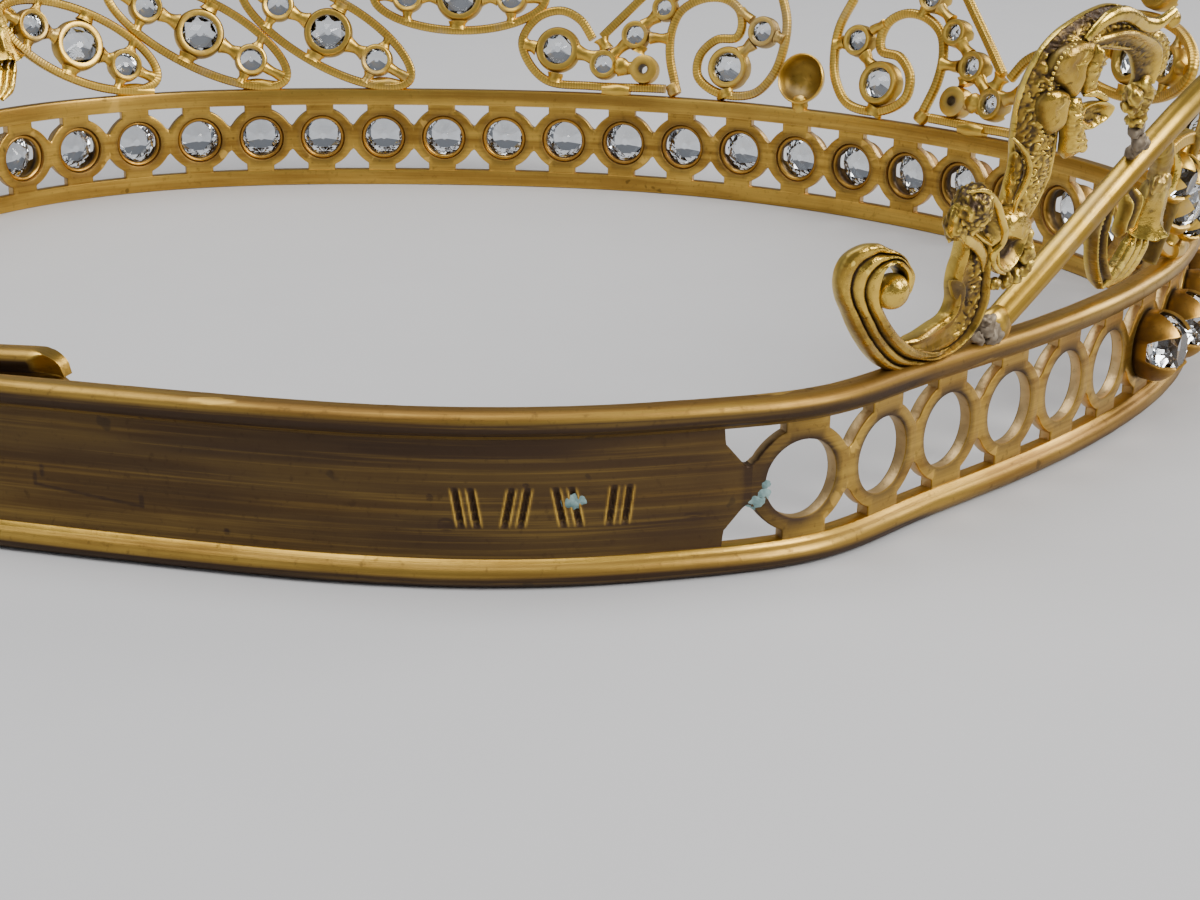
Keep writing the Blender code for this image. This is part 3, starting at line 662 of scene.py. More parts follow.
def rims(b):
    """Both rims along the whole strip. The inner end is cut away on a slant."""
    v = np.concatenate([np.arange(END_INNER, END_INNER + 3.2, 0.2), np.arange(END_INNER + 3.5, END_OUTER - 0.5, 0.95),
        [END_OUTER - 0.3, END_OUTER]])
    base = rim_profile()
    cut = clip01((END_INNER + SLANT - v) / SLANT)[:, None]
    for top in (False, True):
        o = np.broadcast_to(base[:, 0], (len(v), len(base))) + wobble(v, 3 + top, 0.04)[:, None]
        z = np.broadcast_to(base[:, 1], (len(v), len(base)))
        o = o + 0.022 * noise(21, v[:, None] * 0.9, z * 1.7, top * 9)
        o = np.minimum(o, np.where(cut > 0, 1.5 - 0.93 * cut, 9.0))
        z = np.maximum(z, RIM_H * (1 - np.sqrt(1 - cut ** 2)))
        u = np.broadcast_to(v[:, None], z.shape)
        zz = BAND_H - z - wobble(v, 8, 0.025)[:, None] if top else z
        # Painted shade: each roll is darker on its downward-facing half, the top rim's most; the lower rim's fillet,
        # facing up, is kept clear as painted light, and the slanted cut end is kept clear.
        down = base[:, 2] if top else -base[:, 2]
        shade = np.clip((down + 0.55) * 2.3 if top else 0.82 + 1.9 * down, 0.4, 1.35)
        shade[18:] *= 0.3
        shade[15:18] = 0.72 if top else 0.0
        dev = np.stack([u, zz, o], -1)
        plain = np.clip((np.abs(v)[:, None] - RIM_DARK[0]) / RIM_DARK[1], 0.5, 1.0)
        film = 1 + 0.2 * noise(33, u * 0.11, z * 2.0, 5)
        shade = np.clip(shade * plain * film * (1 - clip01(cut * 3)), 0, 1.35)
        b.grid(at(u, zz, o, lap=True), dev, shade, (False, True), caps=True)


def verdigris(b, u, z, r, seed):
    """A crust of pale blue-green on the sheet."""
    n, m = 26, 7
    a = turns(n)
    edge = r * (1 + 0.35 * noise(seed, np.cos(a) * 1.7, np.sin(a) * 1.7, seed))
    k = np.linspace(0.02, 1, m)[:, None]
    uu, zz = u + edge * k * np.cos(a), z + edge * k * np.sin(a) * 0.8
    rise = 0.14 * (1 - k ** 2) * (0.8 + 0.5 * noise(seed + 1, uu * 3, zz * 3, 0))
    p = at(uu, zz, HALF_T - 0.05 + rise, lap=True)
    b.add(p[0], [list(range(n))], mat=2)
    b.grid(p, None, 0.0, (False, True), mat=2)


# Verdigris on the plain back: along, up, radius, seed.
CRUSTS = ((151.9, 5.25, 0.8, 3), (151.6, 5.85, 0.62, 12), (151.35, 6.45, 0.42, 5), (165.4, 6.1, 0.72, 8),
    (164.8, 6.3, 0.68, 9))


def band():
    b = Build()
    pierced(b)
    plain_back(b, 1)
    plain_back(b, -1)
    for crust in CRUSTS:
        verdigris(b, *crust)
    b.finish("band_sheet", [BAND, RAW_EDGE_PAINTED_LIGHT, VERDIGRIS], ["band"], weld=2e-7)
    b = Build()
    rims(b)
    b.finish("band_rims", BAND, ["band"])


# ---- stones in their settings ----
def stone(b, place, r, girdle, crown, pavilion):
    """A round brilliant: table, crown, thin girdle and pavilion with a small flat end."""
    e = math.pi / 8
    rows = ((8, 0.55, girdle + crown, e), (8, 0.8, girdle + crown * 0.62, 0), (16, 1, girdle + 0.07 * r, 0),
        (16, 1, girdle - 0.05 * r, 0), (8, 0.62, girdle - pavilion * 0.5, e), (8, 0.16, girdle - pavilion, 0))
    rings = [ring_at(place, r * radius, turn + turns(n), o) for n, radius, o, turn in rows]
    t, m, g, h, p, q = np.cumsum([0] + [len(ring) for ring in rings])[:6]
    faces = [list(range(8))]
    for i in range(8):
        j, k, k1, k2 = (i + 1) % 8, 2 * i, 2 * i + 1, (2 * i + 2) % 16
        faces += [(t + i, t + (i + 7) % 8, m + i), (m + i, m + j, t + i), (m + i, g + k, g + k1),
            (m + i, g + k1, m + j), (m + j, g + k1, g + k2), (h + k, h + k1, p + i), (h + k1, h + k2, p + i),
            (h + k2, p + j, p + i), (p + i, p + j, q + j), (q + i, q + j, p + i)]
    faces += [(g + i, g + (i + 1) % 16, h + (i + 1) % 16, h + i) for i in range(16)]
    faces.append([q + i for i in range(8)][::-1])
    b.add(np.concatenate(rings), faces)


def setting(b, place, back, r_out, low, high, claws, turn=0.0, depth=0.42, n=64, dirt=0.35, spread=0.8):
    """A cup open at the back, with pointed claws bent over the stone. back: (radius, offset, dirt and painted shade)
    rows.
    """
    a = turns(n)
    off = np.abs(((a - turn) * claws / (2 * math.pi) + 0.5) % 1.0 - 0.5) * 2
    tip = clip01(1 - (off / spread) ** 1.6)
    h, k = high - low, r_out / 3.2
    shoulder = low + h * depth
    rows = [(r, o) for r, o, d in back] + [(r_out * 0.93, low + 0.03), (r_out * 0.97, low + 0.2), (r_out, shoulder)]
    # Painted shade: the cup is darker at its foot, inside its claws and most at its bottom inside.
    shade = [d for r, o, d in back] + [dirt * 1.3, dirt * 1.2, dirt * 0.6]
    rise = high - shoulder
    for t in (0.3, 0.6, 0.85, 1.0):
        q = t * tip
        climb = 1.1 * q - 0.1 * q * q
        rows.append((r_out - 1.05 * k * q ** 2.2, shoulder + rise * climb))
        shade.append(dirt * 0.5 * (1 - t))
    thick = 0.24 * k
    for t in (1.0, 0.85, 0.6, 0.3, 0.0):
        q = t * tip
        climb = 1.1 * q - 0.1 * q * q
        rows.append((r_out - thick - 1.07 * k * q ** 2.2, shoulder - 0.05 + (rise - thick * 0.5) * climb))
        shade.append(0.6)
    rows.append((r_out - thick, low + h * 0.2))
    shade.append(0.95)
    turned(b, place, rows, n, shade)


CUP_R, CUP_TOP = 3.22, 4.1


def cups():
    # Painted shade: a dark ring at the lip round the back of each stone and where the cup meets the sheet.
    back = [(2.42, 0.45, 0.7), (2.42, 0.02, 0.25), (2.46, -0.14, 0), (2.58, -0.24, 0), (2.72, -0.28, 0.1),
        (2.86, -0.2, 0.3), (2.93, -0.05, 0.5), (2.94, 0.55, 0.8)]
    for i, k in enumerate(CUPS):
        place = seat(k * PITCH, BAND_H / 2)
        b = Build()
        setting(b, place, back, CUP_R, HALF_T + 0.05, CUP_TOP, 4, turn=math.pi / 4, depth=0.34, n=72, dirt=0.75,
            spread=0.66)
        b.finish("claw_cup_%02d" % (i + 1), CUP, ["stone_cup_%02d" % (i + 1)])
        g = Build()
        stone(g, place, r=2.82, girdle=2.35, crown=1.65, pavilion=1.75)
        g.finish("stone_%02d" % (i + 1), STONE, slot="glass", smooth=0)


# ---- filigree ----
WIRE_WIDTH, WIRE_DEPTH, RIB = 1.15, 1.1, 0.36


def milled(b, points, closed=False, step=0.09):
    """Flattened wire with fine ribs rolled across it all along."""
    path = resample(raised(0, points), step, closed)
    length = len(path) * step
    rib = length / round(length / RIB) if closed else RIB
    s = np.arange(len(path)) * step
    a = turns(12)
    c, d = np.cos(a), np.sin(a)
    x = np.sign(c) * np.abs(c) ** 0.6 * WIRE_WIDTH / 2
    y = np.sign(d) * np.abs(d) ** 0.8 * WIRE_DEPTH / 2
    wave = np.cos(2 * math.pi * s / rib)[:, None]
    cut = 1 + 0.045 * wave * (0.35 + 0.65 * np.abs(c)) + 0.02 * wobble(s, 5, 1.0)[:, None]
    sweep(b, path, np.stack([x * cut, y * cut], -1), closed, dirt=clip01(-wave * 0.28) + 0 * cut)


def joint(b, start, end, thick, middle, o=-0.1, depth=0.9, seed=1):
    """Solder drawn out between two pieces, thin in the middle."""
    t = np.linspace(0, 1, 13)
    path = np.stack([start[0] + (end[0] - start[0]) * t, start[1] + (end[1] - start[1]) * t, o + 0 * t], 1)
    a = turns(14)
    w = middle + (thick - middle) * np.abs(2 * t - 1) ** 1.6
    prof = np.stack([w[:, None] * np.cos(a), depth * (w[:, None] / thick) ** 0.5 * np.sin(a) * 0.8], -1)
    prof = prof * (1 + 0.12 * noise(seed, t[:, None] * 3, np.cos(a), np.sin(a) + seed * 7))[..., None]
    sweep(b, path, prof)


def joints(b, s, rows, seed, depth=0.9):
    """Several joints: start, end, thickness at the ends and in the middle."""
    for i, (start, end, thick, middle) in enumerate(rows):
        joint(b, (s * start[0], start[1]), (s * end[0], end[1]), thick, middle, -0.1, depth, i + seed)


def blob(b, u, z, o, r, flat=0.6, seed=1, lump=0.14, dirt=0.0, mat=0, tall=1.0, tooth=0.0, n=22, m=13):
    """A bead of solder or a lump of a casting."""
    c, along, up, axis = seat(u, z, o)
    a = turns(n)
    e = np.linspace(-math.pi / 2 + 0.08, math.pi / 2 - 0.08, m)[:, None]
    d = (along * (np.cos(e) * np.cos(a))[..., None] + up * (np.cos(e) * np.sin(a) * tall)[..., None]
        + axis * (np.sin(e) + 0 * a)[..., None] * flat)
    grain = lattice(d * 1.7 + seed * 3.7, seed) + 0.5 * lattice(d * 4.1 + seed, seed + 1)
    if tooth:
        n2 = punched(d * r, seed + 5)
        grain, d = grain + 2.5 * n2, d * (1 + tooth * n2 / r)[..., None]
    d = d * (1 + lump * (grain if not tooth else lattice(d * 1.7, seed)))[..., None]
    b.grid(c + d * r, None, clip01(dirt - 0.5 * dirt * grain), (False, True), caps=True, mat=mat)


def lumps(b, s, rows, flat, seed, lump, dirt, mat=0):
    """Several blobs in a row: (u, z, o, radius) each."""
    for i, (u, z, o, r) in enumerate(rows):
        blob(b, s * u, z, o, r, flat, i + seed, lump, dirt, mat)


def gem_setting(b, g, u, z, r_glass, r_out, o=-0.9, tall=2.9, claws=6):
    """A collet of the filigree with its claws, and its stone."""
    place = seat(u, z)
    # Painted shade: darker at the lip round the back of the stone.
    back = [(r_glass, o + 0.75, 0.6), (r_glass, o + 0.3, 0.2), (r_glass + 0.06, o + 0.1, 0),
        ((r_glass + r_out) / 2, o, 0), (r_out * 0.9, o + 0.06, 0.05)]
    setting(b, place, back, r_out, o + 0.2, o + tall, claws, depth=0.5, n=48, dirt=0.3)
    stone(g, place, r_out * 0.86, o + tall * 0.55, tall * 0.42, tall * 0.42)


def finish_pair(b, g, node, kind):
    """The metal and the stones of one piece of filigree."""
    b.finish("%s_%s" % (node, kind), WIRE, [node])
    g.finish(node + "_stones", STONE, slot="glass", smooth=0)


def navette_parts(b, g, s, cu, cz, lean, length, mid, end, spread, tie=None):
    """A milled oval with three stones along it, soldered in place. mid, end: radii of glass and cup."""
    a = math.radians(lean)

    def place(x, y):
        return s * (cu + x * math.cos(a) - y * math.sin(a)), cz + x * math.sin(a) + y * math.cos(a)

    outline = []
    for t in np.linspace(0, 2 * math.pi, 29)[:-1]:
        y = 4.3 * math.sin(t) * (0.88 + 0.12 * abs(math.sin(t)))
        outline.append(place((length / 2 - 0.6) * math.cos(t), y))
    milled(b, outline, closed=True)
    for d, (glass_r, out_r) in ((-spread, end), (0, mid), (spread, end)):
        u, z = place(d, 0)
        gem_setting(b, g, u, z, glass_r, out_r)
    for i, d in enumerate((-1, 1)):
        joint(b, place(d * (mid[1] - 0.25), 0), place(d * (spread - end[1] + 0.25), 0), 1.15, 0.75, -0.1, 1.0, i + 3)
        joint(b, place(d * (spread + end[1] - 0.2), 0), place(d * (length / 2 - 1), 0), 0.8, 0.6, -0.1, 0.8, i + 5)
        joint(b, place(0.2, d * (mid[1] - 0.2)), place(0.2, d * 4.2), 1.3, 1.0, -0.1, 0.9, i + 7)
        for e in (-1, 1):
            foot = place(d * spread, e * 3.3)
            joint(b, place(d * spread, e * (end[1] - 0.2)), foot, 0.8, 0.55, -0.1, 0.7, i + e + 10)
    if tie:
        gem_setting(b, g, s * tie[0], tie[1], tie[2] * 0.62, tie[2] * 1.07)
        crown = tie[1] + tie[2] * 1.07
        joint(b, (s * tie[0], crown - 0.3), (s * tie[0], crown + 0.9), 0.9, 0.6, seed=17)


# Middle along and up, length, lean, how far out the end stones sit, and the single stone above with its size.
NAVETTES = ((64.8, 20.2, 26, 29, 7.3, (75.6, 29.3, 1.8)), (81.4, 20.3, 26, 29, 7.3, (92.2, 28.6, 1.3)),
    (97, 19.6, 22.5, 27, 6.3, None), (47.4, 24.9, 24, 0, 6.9, (48, 33.1, 3.1)))


def navettes():
    for s, side in SIDES:
        for i, (cu, cz, length, lean, spread, tie) in enumerate(NAVETTES):
            b, g = Build(), Build()
            navette_parts(b, g, s, cu, cz, lean, length, mid=(2.3, 3.3), end=(1.45, 2.2), spread=spread, tie=tie)
            if i < 3:
                foot = cu - length * 0.3
                joint(b, (s * (foot - 2.2), 13.2), (s * (foot + 2.6), 13.6), 0.7, 1.0, 0.3, 0.9, i + 11)
            finish_pair(b, g, "navette_%s_%d" % (side, i + 1), "frame")


# Middle lines of the wires and the places of stones, solder and rings on the left: (along, up) and sizes.
S_WIRE = ((17.7, 14), (19, 18.3), (19, 21.6), (18, 24), (15.4, 25.6), (12.5, 25.8), (10.4, 24.6), (9.7, 22.6),
    (10.2, 21.1), (12.9, 20.6), (14.9, 18.5), (14.9, 15.9), (11.9, 14), (6.8, 14.3), (4.4, 17), (3.6, 20.3),
    (3.7, 23.5), (5, 27))
LOOP_WIRE = ((19.2, 14), (29.3, 13.9), (35.4, 14.4), (38.1, 16.9), (38.9, 19.5), (37, 22.4), (33.9, 23.4),
    (31.3, 22.3), (29.5, 19.9))
V_WIRE = ((28.3, 20.2), (22.4, 26.4), (18.4, 30.8), (14.6, 34.6), (9.6, 39.6), (4.9, 46.4))
JOINTS = (((25.9, 16.4), (22.9, 16.4), 1.2, 0.9), ((28.9, 17.4), (31.6, 18.2), 1.2, 0.8),
    ((23.3, 18.4), (22.9, 19.4), 1, 0.8), ((22.8, 21.9), (21.2, 23.2), 1, 0.7),
    ((19.2, 25.6), (17.2, 26.9), 0.9, 0.6), ((21.8, 20.4), (19.2, 20.4), 0.9, 0.6),
    ((27.6, 18.6), (28.3, 20), 1.1, 0.8), ((24.8, 19.6), (26.6, 18), 0.9, 0.7), ((9.2, 19.2), (7.9, 20.5), 1, 0.7),
    ((4.8, 21.6), (3.6, 21.2), 0.9, 0.7), ((11, 14.4), (10.6, 13.4), 1.3, 1.2), ((8.4, 23.4), (10, 24.4), 0.7, 0.6),
    ((24, 13.5), (27.8, 13.5), 0.7, 0.9), ((18.4, 14.6), (17.6, 13.4), 0.8, 1), ((37, 18.6), (38.6, 19), 1, 0.8),
    ((34.2, 15.4), (34.4, 14.2), 1.1, 0.9), ((15.2, 26.6), (14.9, 25.6), 0.8, 0.7))
GEMS = ((10.8, 17.2, 1.9, 2.85), (6.7, 22, 1.3, 2.05), (27.8, 16.7, 1.2, 2), (34.1, 18.4, 1.95, 3.05),
    (23.8, 20.6, 1.2, 1.95), (20.2, 24.2, 1, 1.75), (16, 28, 1.2, 1.9))
EYELET = ((0.6, -0.9), (1.2, -1.05), (1.85, -0.8), (1.95, 0), (1.85, 1.2), (1.2, 1.45), (0.6, 1.3))


def filigree():
    for s, side in SIDES:
        b, g = Build(), Build()
        for w in (S_WIRE, LOOP_WIRE, V_WIRE):
            milled(b, mirror(w, s))
        for u, z, inner, outer in GEMS:
            gem_setting(b, g, s * u, z, inner, outer)
        turned(b, seat(s * 22.3, 16.3), EYELET, 24, [0.9, 0.1, 0, 0.1, 0, 0.1, 0.9])
        joints(b, s, JOINTS, 20, 0.95)
        blob(b, s * 25.4, 16.5, -0.5, 1.2, seed=31)
        finish_pair(b, g, "filigree_" + side, "wires")


def boss():
    b = Build()
    rows = [(0.05, 1.45), (1.2, 1.3), (2.2, 0.8), (2.9, 0), (3.2, -0.8), (3.25, -1.2), (3.1, -1.35), (2.95, -1.2),
        (2.75, -0.5), (2.2, 0.25), (1.3, 0.8), (0.05, 0.95)]
    turned(b, seat(0, BAND_H + 3.6), rows, 32, [0, 0, 0, 0.05, 0.1, 0.1, 0, 0, 0.1, 0.25, 0.35, 0.4])
    blob(b, 0.0, 13.5, -0.2, 1.2, seed=71)
    b.finish("centre_boss_cup", WIRE, ["centre_boss"])


# The wire spray beside the peak, its solder and its stones.
SPRAY = ((29.4, 36.6), (27.2, 34.6), (28.2, 31.4), (31.8, 30.9), (34, 34), (34.2, 38.4), (30.6, 41.9), (24.3, 46),
    (18.3, 50.4), (13.7, 54.1), (10.6, 57))
SPRAY_JOINTS = (((20.6, 47), (17.2, 48.8), 0.9, 0.6), ((13.6, 51.8), (12.2, 53.4), 0.8, 0.6),
    ((33.2, 34.2), (34.2, 34.6), 0.9, 0.8), ((30.8, 42.2), (32, 44.3), 0.9, 0.6),
    ((18.5, 50.7), (19.4, 52.1), 0.9, 0.6), ((10.8, 57.2), (11.6, 59), 0.9, 0.6))
SPRAY_GEMS = ((30.6, 34, 2.9), (21.9, 44.8, 2.5), (15.3, 50, 2.3), (10.7, 54.9, 1.9))


def peak():
    for s, side in SIDES:
        b, g = Build(), Build()
        milled(b, mirror(SPRAY, s), step=0.12)
        for u, z, r in SPRAY_GEMS:
            gem_setting(b, g, s * u, z, r * 0.65, r * 1.05)
        joints(b, s, SPRAY_JOINTS, 41)
        finish_pair(b, g, "peak_spray_" + side, "wire")
    b, g = Build(), Build()
    navette_parts(b, g, 1, 0.0, 46.0, lean=90.0, length=30.0, mid=(2.3, 3.4), end=(1.6, 2.6), spread=8.0)
    gem_setting(b, g, 0.0, 29.3, 1.6, 2.6)
    joint(b, (0, 60.4), (0, 67.2), 1.0, 0.75, seed=48)
    finish_pair(b, g, "peak_navette", "frame")
    b = Build()
    top = at(np.array([0]), PEAK_Z, 0.0)[0]
    c = np.array([top[0], top[1], 0])
    place = (c, *np.eye(3))
    rows = [(0.05, 66.4), (1.5, 66.5), (1.75, 66.9), (1.75, 71), (2.3, 71.6), (2.6, 72.4), (2.5, 73.4), (1.6, 74),
        (1.2, 74.7), (1.6, 75.3), (2.6, 76.2), (3.3, 77.8), (3.5, 79.4), (3.2, 81.2), (2.4, 82.6), (1.3, 83.6),
        (1, 84.2), (1.15, 84.8), (1, 85.6), (0.5, 86.6), (0.05, 87)]
    dirt = [0.3] * 4 + [0.1, 0, 0.1, 0.7, 0.8, 0.6, 0.15, 0, 0, 0, 0.1, 0.5, 0.6, 0.1, 0, 0, 0]
    turned(b, place, rows, 32, dirt, closed=False)
    b.finish("finial_knop", CAST, ["finial"])


# ---- outline rails ----
RAIL_HALF = 1.15
RAIL_FOOT, RAIL_MEETING = 13.2, 0.4


def rail_path():
    """From just above the band to just short of the knop, where both rails meet."""
    p = np.concatenate([bezier(RAIL_RISE, 60)[:-1], bezier(RAIL_SWEEP, 240)])
    p = p[(p[:, 1] > RAIL_FOOT) & (p[:, 0] > RAIL_MEETING)]
    return resample(raised(0, p[::6]), 0.4)


def rails():
    w = RAIL_HALF
    a = np.linspace(0, math.pi, 15)
    dome = np.stack([w * np.cos(a), -0.25 + 1.15 * np.sin(a)], -1)
    flat = np.array([(-w + 0.05, -0.62), (-w * 0.8, -0.8), (w * 0.8, -0.8), (w - 0.05, -0.62)])
    prof = np.concatenate([dome, flat])
    for s, side in SIDES:
        b = Build()
        path = rail_path()
        path[:, 0] *= s
        scale = 1 + 0.03 * noise(4, np.arange(len(path)) * 0.16, 0, s)
        sweep(b, path, prof[None] * scale[:, None, None])
        blob(b, s * 126.4, 13.6, 0.0, 1.9, 0.6, 51, 0.08)
        b.finish("outline_rail_%s_wire" % side, RAIL, ["outline_rail_" + side])


# ---- castings ----
def band_section(keys, n=31):
    """Columns across a casting: (position -1..1, height, dirt and painted shade, stipple) interpolated between keys.
    """
    k = np.array(keys, float)
    x = np.linspace(-1, 1, n)
    return np.stack([x] + [np.interp(x, k[:, 0], k[:, c]) for c in (1, 2, 3)], -1)


def even(points, n):
    """n points at an even spacing along a path."""
    q = resample(points, 0.1)
    t = np.linspace(0, len(q) - 1, n)
    return np.stack([np.interp(t, np.arange(len(q)), q[:, c]) for c in range(3)], 1)


def punched(p, seed):
    """Rounded grains with sharp gaps between them, as a matting punch leaves."""
    return 1.5 * np.abs(lattice(p * 2.9, seed)) - 0.48 + 0.3 * lattice(p * 5.6, seed + 1)


# Spacings of the points. The casting on the far side is coarser.
LOFT_STEP, LOBE_STEP, CORD_STEP, COARSER = 0.12, 0.14, 0.14, 1.5


def loft(b, left, right, section, s=1, back=0.8, ends=(0.25, 0.25), rough=0.03, stipple=0.22, height=1.0,
        fade=(0, 0.01), grime=None):
    """Relief spanned between two guide edges, each a list of (u, z, o)."""
    step = LOFT_STEP
    if s < 0:
        step, section = step * COARSER, section[::2]
    n = max(6, int(np.abs(np.diff(np.asarray(left, float)[:, :2], axis=0)).sum() / step))
    a, c = even(mirror(left, s), n), even(mirror(right, s), n)
    x = section[:, 0]
    uzo = between(a[:, None], c[:, None], (x[:, None] + 1) / 2)
    t = np.linspace(0, 1, n)
    swell = taper(t, ends, 6)
    flat = on(uzo)
    fine = punched(flat, 3)
    slow = lattice(flat * 1.3, 5)
    dots = section[:, 3] * swell * clip01((t - fade[0]) / (fade[1] - fade[0]))[:, None]
    o = uzo[..., 2] + section[:, 1] * height * swell + dots * stipple * fine + rough * slow
    front = at(uzo[..., 0], uzo[..., 1], o)
    rear = on(between(a[:, None], c[:, None], np.linspace(0.94, 0.06, 5)[:, None]), -back * swell)
    shade = section[:, 2] + np.clip(0.05 - fine * 1.6, 0, 0.8) * dots
    if grime:
        shade = shade + grime(t[:, None], x[None, :])
    shade = np.concatenate([clip01(shade), np.full((n, 5), 0.35)], 1)
    b.grid(np.concatenate([front, rear], 1), None, shade, (False, True), caps=True)


def lobe(b, centre, outline, profile, s, back, rough, stipple, dirt, low=None, low_dirt_and_shade=None, rings=14):
    """A star-shaped piece of relief: profile gives height against distance from the centre (0) to the edge (1);
    low gives the profile of its lower half when that differs."""
    c = np.array([s * centre[0], centre[1], centre[2]])
    edge = resample(mirror(outline, s), LOBE_STEP if s > 0 else LOBE_STEP * COARSER, closed=True)
    k = np.linspace(0.0, 1.0, rings if s > 0 else rings * 2 // 3)[:, None]
    k = 1 - (1 - k) ** 1.3
    h = graph(k, profile)
    if low is not None:
        turn = edge[:, :2] - c[:2]
        down = clip01(0.5 - 1.2 * turn[:, 1] / np.maximum(np.linalg.norm(turn, axis=1), 1e-6))
        h = between(h, graph(k, low), down)
    uzo = between(c, edge, np.maximum(k, 0.015)[..., None])
    flat = on(uzo)
    fine = punched(flat, 4)
    o = uzo[..., 2] + h + stipple * fine * (1 - k ** 6) + rough * lattice(flat * 1.3, 6)
    front = at(uzo[..., 0], uzo[..., 1], o)
    rear = on(between(c, edge, np.array([0.93, 0.5, 0.02])[:, None, None]), -back)
    shade = graph(k, dirt) + 0 * o
    if low is not None:
        shade = between(shade, graph(k, low_dirt_and_shade), down)
    shade = clip01(shade - stipple * 4 * fine)
    shade = np.concatenate([shade, np.full((3, shade.shape[1]), 0.4)])
    b.grid(np.concatenate([front, rear]), None, shade, (False, True), caps=True)


def cord(b, points, width, height, s=1, ends=(0.4, 0.4), dirt=0.0, rough=0.02, sink=0.3):
    """A smooth rounded ridge along a path, thinner at its ends."""
    path = resample(mirror(points, s), CORD_STEP)
    k = taper(np.linspace(0, 1, len(path)), ends, 4)
    a = turns(14)
    y = np.where(np.sin(a) > 0, np.sin(a) * height, np.sin(a) * sink)
    prof = np.stack([width / 2 * np.cos(a) * k, y * k], -1)
    sweep(b, path, prof, dirt=dirt, rough=rough)


def beads(b, points, r, gap, s=1, dirt=0.0):
    """A row of small half-round beads."""
    rows = [(r * math.cos(t), r * math.sin(t)) for t in np.linspace(-1.3, 1.3, 5)]
    for u, z, o in resample(mirror(points, s), gap):
        turned(b, seat(u, z, o), rows, 8, dirt, closed=False)


def ball(b, u, z, o, r, squash=0.85, dirt=0.1):
    """A smooth knob."""
    e = np.linspace(-math.pi / 2 + 0.06, math.pi / 2 - 0.06, 15)
    rows = [(r * math.cos(t), r * squash * math.sin(t)) for t in e]
    turned(b, seat(u, z, o), rows, 30, [dirt + 0.3 * (math.sin(t) < -0.3) for t in e], closed=False)


# Sections across a casting: position, height, dirt and painted shade, and stipple. Then guide edges of (along, up,
# out) points.
LIPPED = band_section(((-1, 0, 0.45, 0), (-0.98, 0.3, 0, 0), (-0.93, 0.34, 0, 0.1), (-0.88, 0.26, 0.4, 0.5),
    (-0.6, 0.75, 0.2, 1), (-0.3, 1.22, 0.1, 1), (-0.05, 1.46, 0.05, 0.9), (0.2, 1.5, 0.1, 1), (0.5, 1.34, 0.2, 1),
    (0.76, 1.1, 0.35, 0.8), (0.86, 1.22, 0, 0.1), (0.95, 1.14, 0, 0), (1, 0.1, 0.5, 0)), 51)
LEAF = band_section(((-1, 0, 0.4, 0), (-0.94, 0.42, 0, 0), (-0.75, 0.6, 0, 0.05), (-0.35, 0.38, 0.15, 0.2),
    (-0.05, 0.42, 0.1, 1), (0.3, 0.62, 0.1, 1), (0.52, 0.55, 0.2, 0.6), (0.6, 0.34, 0.95, 0), (0.67, 0.62, 0.3, 0),
    (0.8, 0.95, 0, 0), (0.92, 0.85, 0, 0), (1, 0, 0.5, 0)), 41)
ROUND = band_section(((-1, 0, 0.4, 0), (-0.9, 0.35, 0.1, 0.2), (-0.6, 0.62, 0, 0.6), (0, 0.75, 0, 0.7),
    (0.6, 0.6, 0.1, 0.6), (0.9, 0.3, 0.2, 0.2), (1, 0, 0.4, 0)), 17)
VOLUTE_BAND = band_section(((-1, 0, 0.7, 0), (-0.96, 0.22, 0.4, 0.2), (-0.86, 0.45, 0.1, 0.2), (-0.72, 0.56, 0, 0.3),
    (-0.58, 0.5, 0.05, 0.1), (-0.5, 0.28, 0.9, 0), (-0.45, 0.24, 1, 0), (-0.4, 0.48, 0.3, 0), (-0.28, 0.74, 0, 0),
    (-0.1, 0.78, 0, 0.1), (0.04, 0.6, 0.3, 0), (0.11, 0.34, 1, 0), (0.17, 0.6, 0.4, 0), (0.3, 0.95, 0, 0.1),
    (0.56, 1.08, 0, 0.1), (0.84, 0.92, 0, 0), (1, 0.1, 0.6, 0)), 57)
VOLUTE_OUT = ((142.2, 18.9, 0.9), (141, 19.6, 0.6), (140.9, 20.7, 0.4), (141.8, 21.8, 0.2), (142.9, 22.7, 0.2),
    (144.3, 23.4, 0.2), (145.4, 23.9, 0.2), (146.5, 23.8, 0.1), (147.3, 23.3, 0), (147.7, 22.5, 0), (147.7, 21.3, 0),
    (147.2, 20, 0), (146.4, 18.8, 0), (145.3, 17.3, 0), (143.8, 15.7, 0), (142.2, 14.3, 0.1), (140.5, 13.2, 0.2),
    (138.4, 12.5, 0.3), (136.2, 12.2, 0.3), (134, 12.3, 0.3), (132, 12.9, 0.3))
VOLUTE_IN = ((143.3, 19.5, 0.9), (142.6, 20.3, 0.8), (142.7, 21.2, 0.6), (143.4, 21.9, 0.4), (144.2, 22.3, 0.3),
    (144.8, 22.1, 0.2), (144.9, 21.4, 0.1), (144.5, 20.3, 0.1), (144, 19.2, 0.1), (143.1, 18.1, 0.1),
    (141.9, 17, 0.1), (140.6, 16, 0.1), (139.2, 15.2, 0.1), (137.6, 14.4, 0.2), (135, 13.7, 0.3), (132.8, 13.8, 0.3),
    (131.2, 14.6, 0.3))
LEAF_OUT = ((140, 15, -0.2), (138.6, 15.1, 0), (137, 15.3, 0.1), (135.3, 15.8, 0.1), (134, 16.2, 0.1),
    (133.7, 16.8, 0.1), (133.8, 17.6, 0.1), (134.5, 18.8, 0.1), (134.8, 20.1, 0.1), (134.9, 21.2, 0.2),
    (135.4, 22.3, 0.3), (136.3, 23.4, 0.3))
